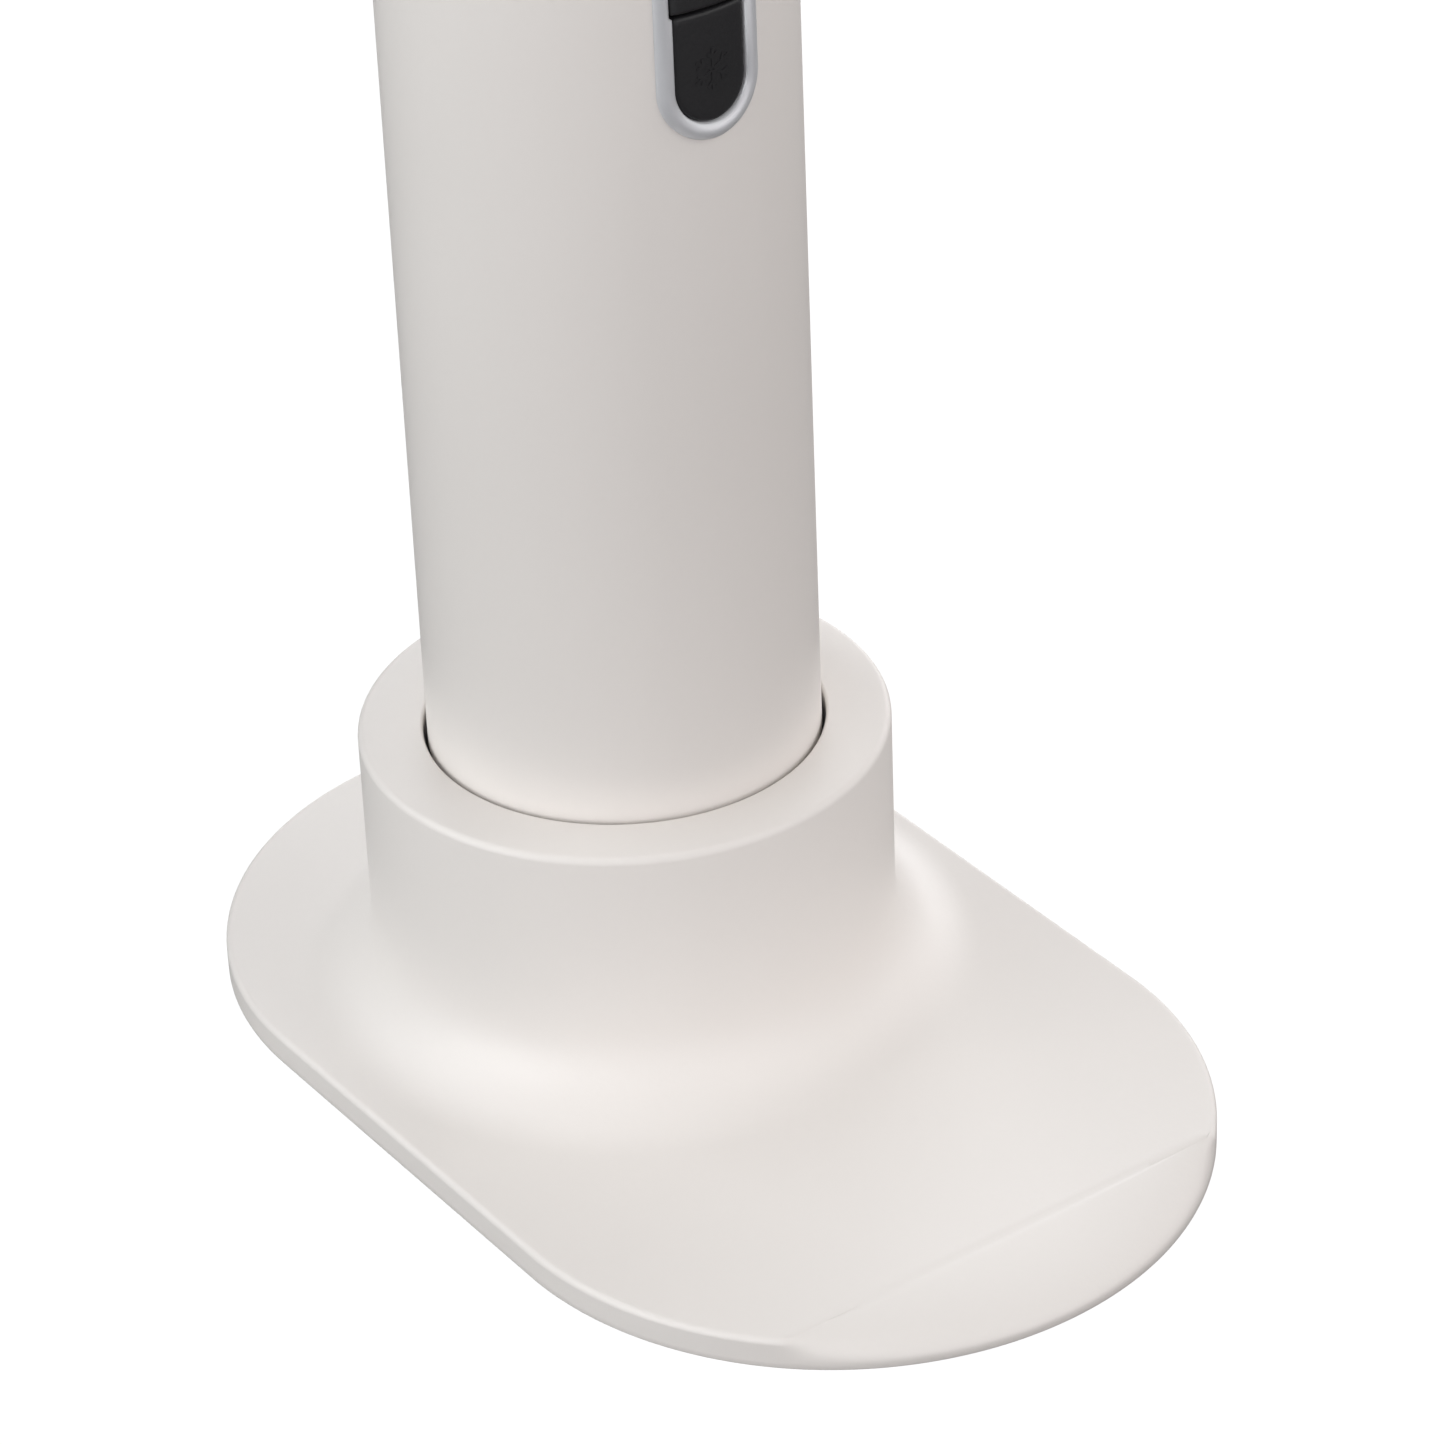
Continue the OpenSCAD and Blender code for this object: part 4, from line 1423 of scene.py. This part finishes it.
SOFT_BOXES = (
    SoftBox(270, 12, (0.9, 0.915, 0.916)),
    SoftBox(315, 12, (0.36, 0.354, 0.358)),
    SoftBox(10, 12, (0.47, 0.448, 0.458)),
    SoftBox(45, 38, (0.45, 0.45, 0.435)),
    SoftBox(90, 12, (0.42, 0.406, 0.41)),
    SoftBox(135, 12, (0.82, 0.825, 0.84)),
    SoftBox(225, 38, (0.48, 0.493, 0.505)),
)


@dataclass
class Studio:
    """Camera, floor and the soft lamps all around."""

    camera_place: tuple[float, float, float] = (-0.2758685, -0.4076571, 0.3487874)
    camera_turn: tuple[float, float, float] = (57.83784, 2.00211, -35.68229)
    lens: float = 139.1125
    floor_size: float = 3000.0
    floor_drop: float = 0.1
    floor_grey: float = 0.04
    backdrop: float = 1.05
    soft_boxes: tuple[SoftBox, ...] = SOFT_BOXES
    lamp_power: float = 10.2
    lamp_size: float = 1.0
    lamp_distance: float = 1.2
    lit_point: tuple[float, float, float] = (0.0, 0.0, 0.08)
    room: tuple[float, float, float] = (0.17, 0.17, 0.17)

    def camera(self) -> None:
        """Sets up the camera."""
        data = bpy.data.cameras.new("camera")
        data.lens = self.lens
        data.sensor_width = 36
        data.clip_start = 0.01
        camera = bpy.data.objects.new("camera", data)
        camera.location = self.camera_place
        camera.rotation_euler = [math.radians(a) for a in self.camera_turn]
        bpy.context.scene.collection.objects.link(camera)
        bpy.context.scene.camera = camera
        bpy.context.scene.view_settings.view_transform = "Standard"

    def floor(self) -> None:
        """Lays the plain pale floor, evenly bright, dull to the object and clear from below."""
        shape = Shape()
        bmesh.ops.create_circle(shape.bm, cap_ends=True, radius=self.floor_size, segments=64)
        floor = shape.shift(z=-self.floor_drop).done("floor")
        if floor.data.polygons[0].normal.z < 0:
            floor.data.flip_normals()
        material = bpy.data.materials.new("floor_pale")
        material.use_nodes = True
        tree = material.node_tree
        shader = tree.nodes["Principled BSDF"]
        shader.inputs["Base Color"].default_value = (*[self.floor_grey] * 3, 1)
        shader.inputs["Roughness"].default_value = 0.9
        glow = tree.nodes.new("ShaderNodeEmission")
        glow.inputs["Strength"].default_value = self.backdrop
        seen = tree.nodes.new("ShaderNodeLightPath")
        blend = tree.nodes.new("ShaderNodeMixShader")
        tree.links.new(seen.outputs["Is Camera Ray"], blend.inputs["Fac"])
        tree.links.new(shader.outputs["BSDF"], blend.inputs[1])
        tree.links.new(glow.outputs["Emission"], blend.inputs[2])
        clear = tree.nodes.new("ShaderNodeBsdfTransparent")
        side = tree.nodes.new("ShaderNodeNewGeometry")
        under = tree.nodes.new("ShaderNodeMixShader")
        tree.links.new(side.outputs["Backfacing"], under.inputs["Fac"])
        tree.links.new(blend.outputs["Shader"], under.inputs[1])
        tree.links.new(clear.outputs["BSDF"], under.inputs[2])
        tree.links.new(under.outputs["Shader"], tree.nodes["Material Output"].inputs["Surface"])
        floor.data.materials.append(material)

    def lamps(self) -> None:
        """Hangs the soft lamps around the object."""
        for number, box in enumerate(self.soft_boxes):
            data = bpy.data.lights.new(f"soft_box_{number}", "AREA")
            data.shape = "SQUARE"
            data.size = self.lamp_size
            data.energy = self.lamp_power
            data.color = box.colour
            lamp = bpy.data.objects.new(f"soft_box_{number}", data)
            lamp.location = Vector(self.lit_point) + box.direction * self.lamp_distance
            lamp.rotation_euler = box.direction.to_track_quat("Z", "Y").to_euler()
            bpy.context.scene.collection.objects.link(lamp)

    def walls(self) -> None:
        """Gives the room a low even light, and walls that look as bright as the floor."""
        world = bpy.data.worlds.new("room")
        world.use_nodes = True
        tree = world.node_tree
        dim = tree.nodes["Background"]
        dim.inputs["Color"].default_value = (*self.room, 1)
        bright = tree.nodes.new("ShaderNodeBackground")
        bright.inputs["Color"].default_value = (1, 1, 1, 1)
        bright.inputs["Strength"].default_value = self.backdrop
        seen = tree.nodes.new("ShaderNodeLightPath")
        blend = tree.nodes.new("ShaderNodeMixShader")
        tree.links.new(seen.outputs["Is Camera Ray"], blend.inputs["Fac"])
        tree.links.new(dim.outputs["Background"], blend.inputs[1])
        tree.links.new(bright.outputs["Background"], blend.inputs[2])
        tree.links.new(blend.outputs["Shader"], tree.nodes["World Output"].inputs["Surface"])
        bpy.context.scene.world = world

    def build(self) -> None:
        """Builds camera, floor, walls and lamps."""
        self.camera()
        self.floor()
        self.walls()
        self.lamps()


def main() -> None:
    """Builds the object and its studio, and reports each piece."""
    logging.basicConfig(level=logging.INFO, format="%(message)s", stream=sys.stdout)
    Studio().build()
    paint = Paint()
    paint.coat_nodes()
    Stand(paint).build()
    Handle(paint).build()
    IntakeEnd(paint).build()
    ControlPanel(paint).build()


if __name__ == "__main__":
    main()
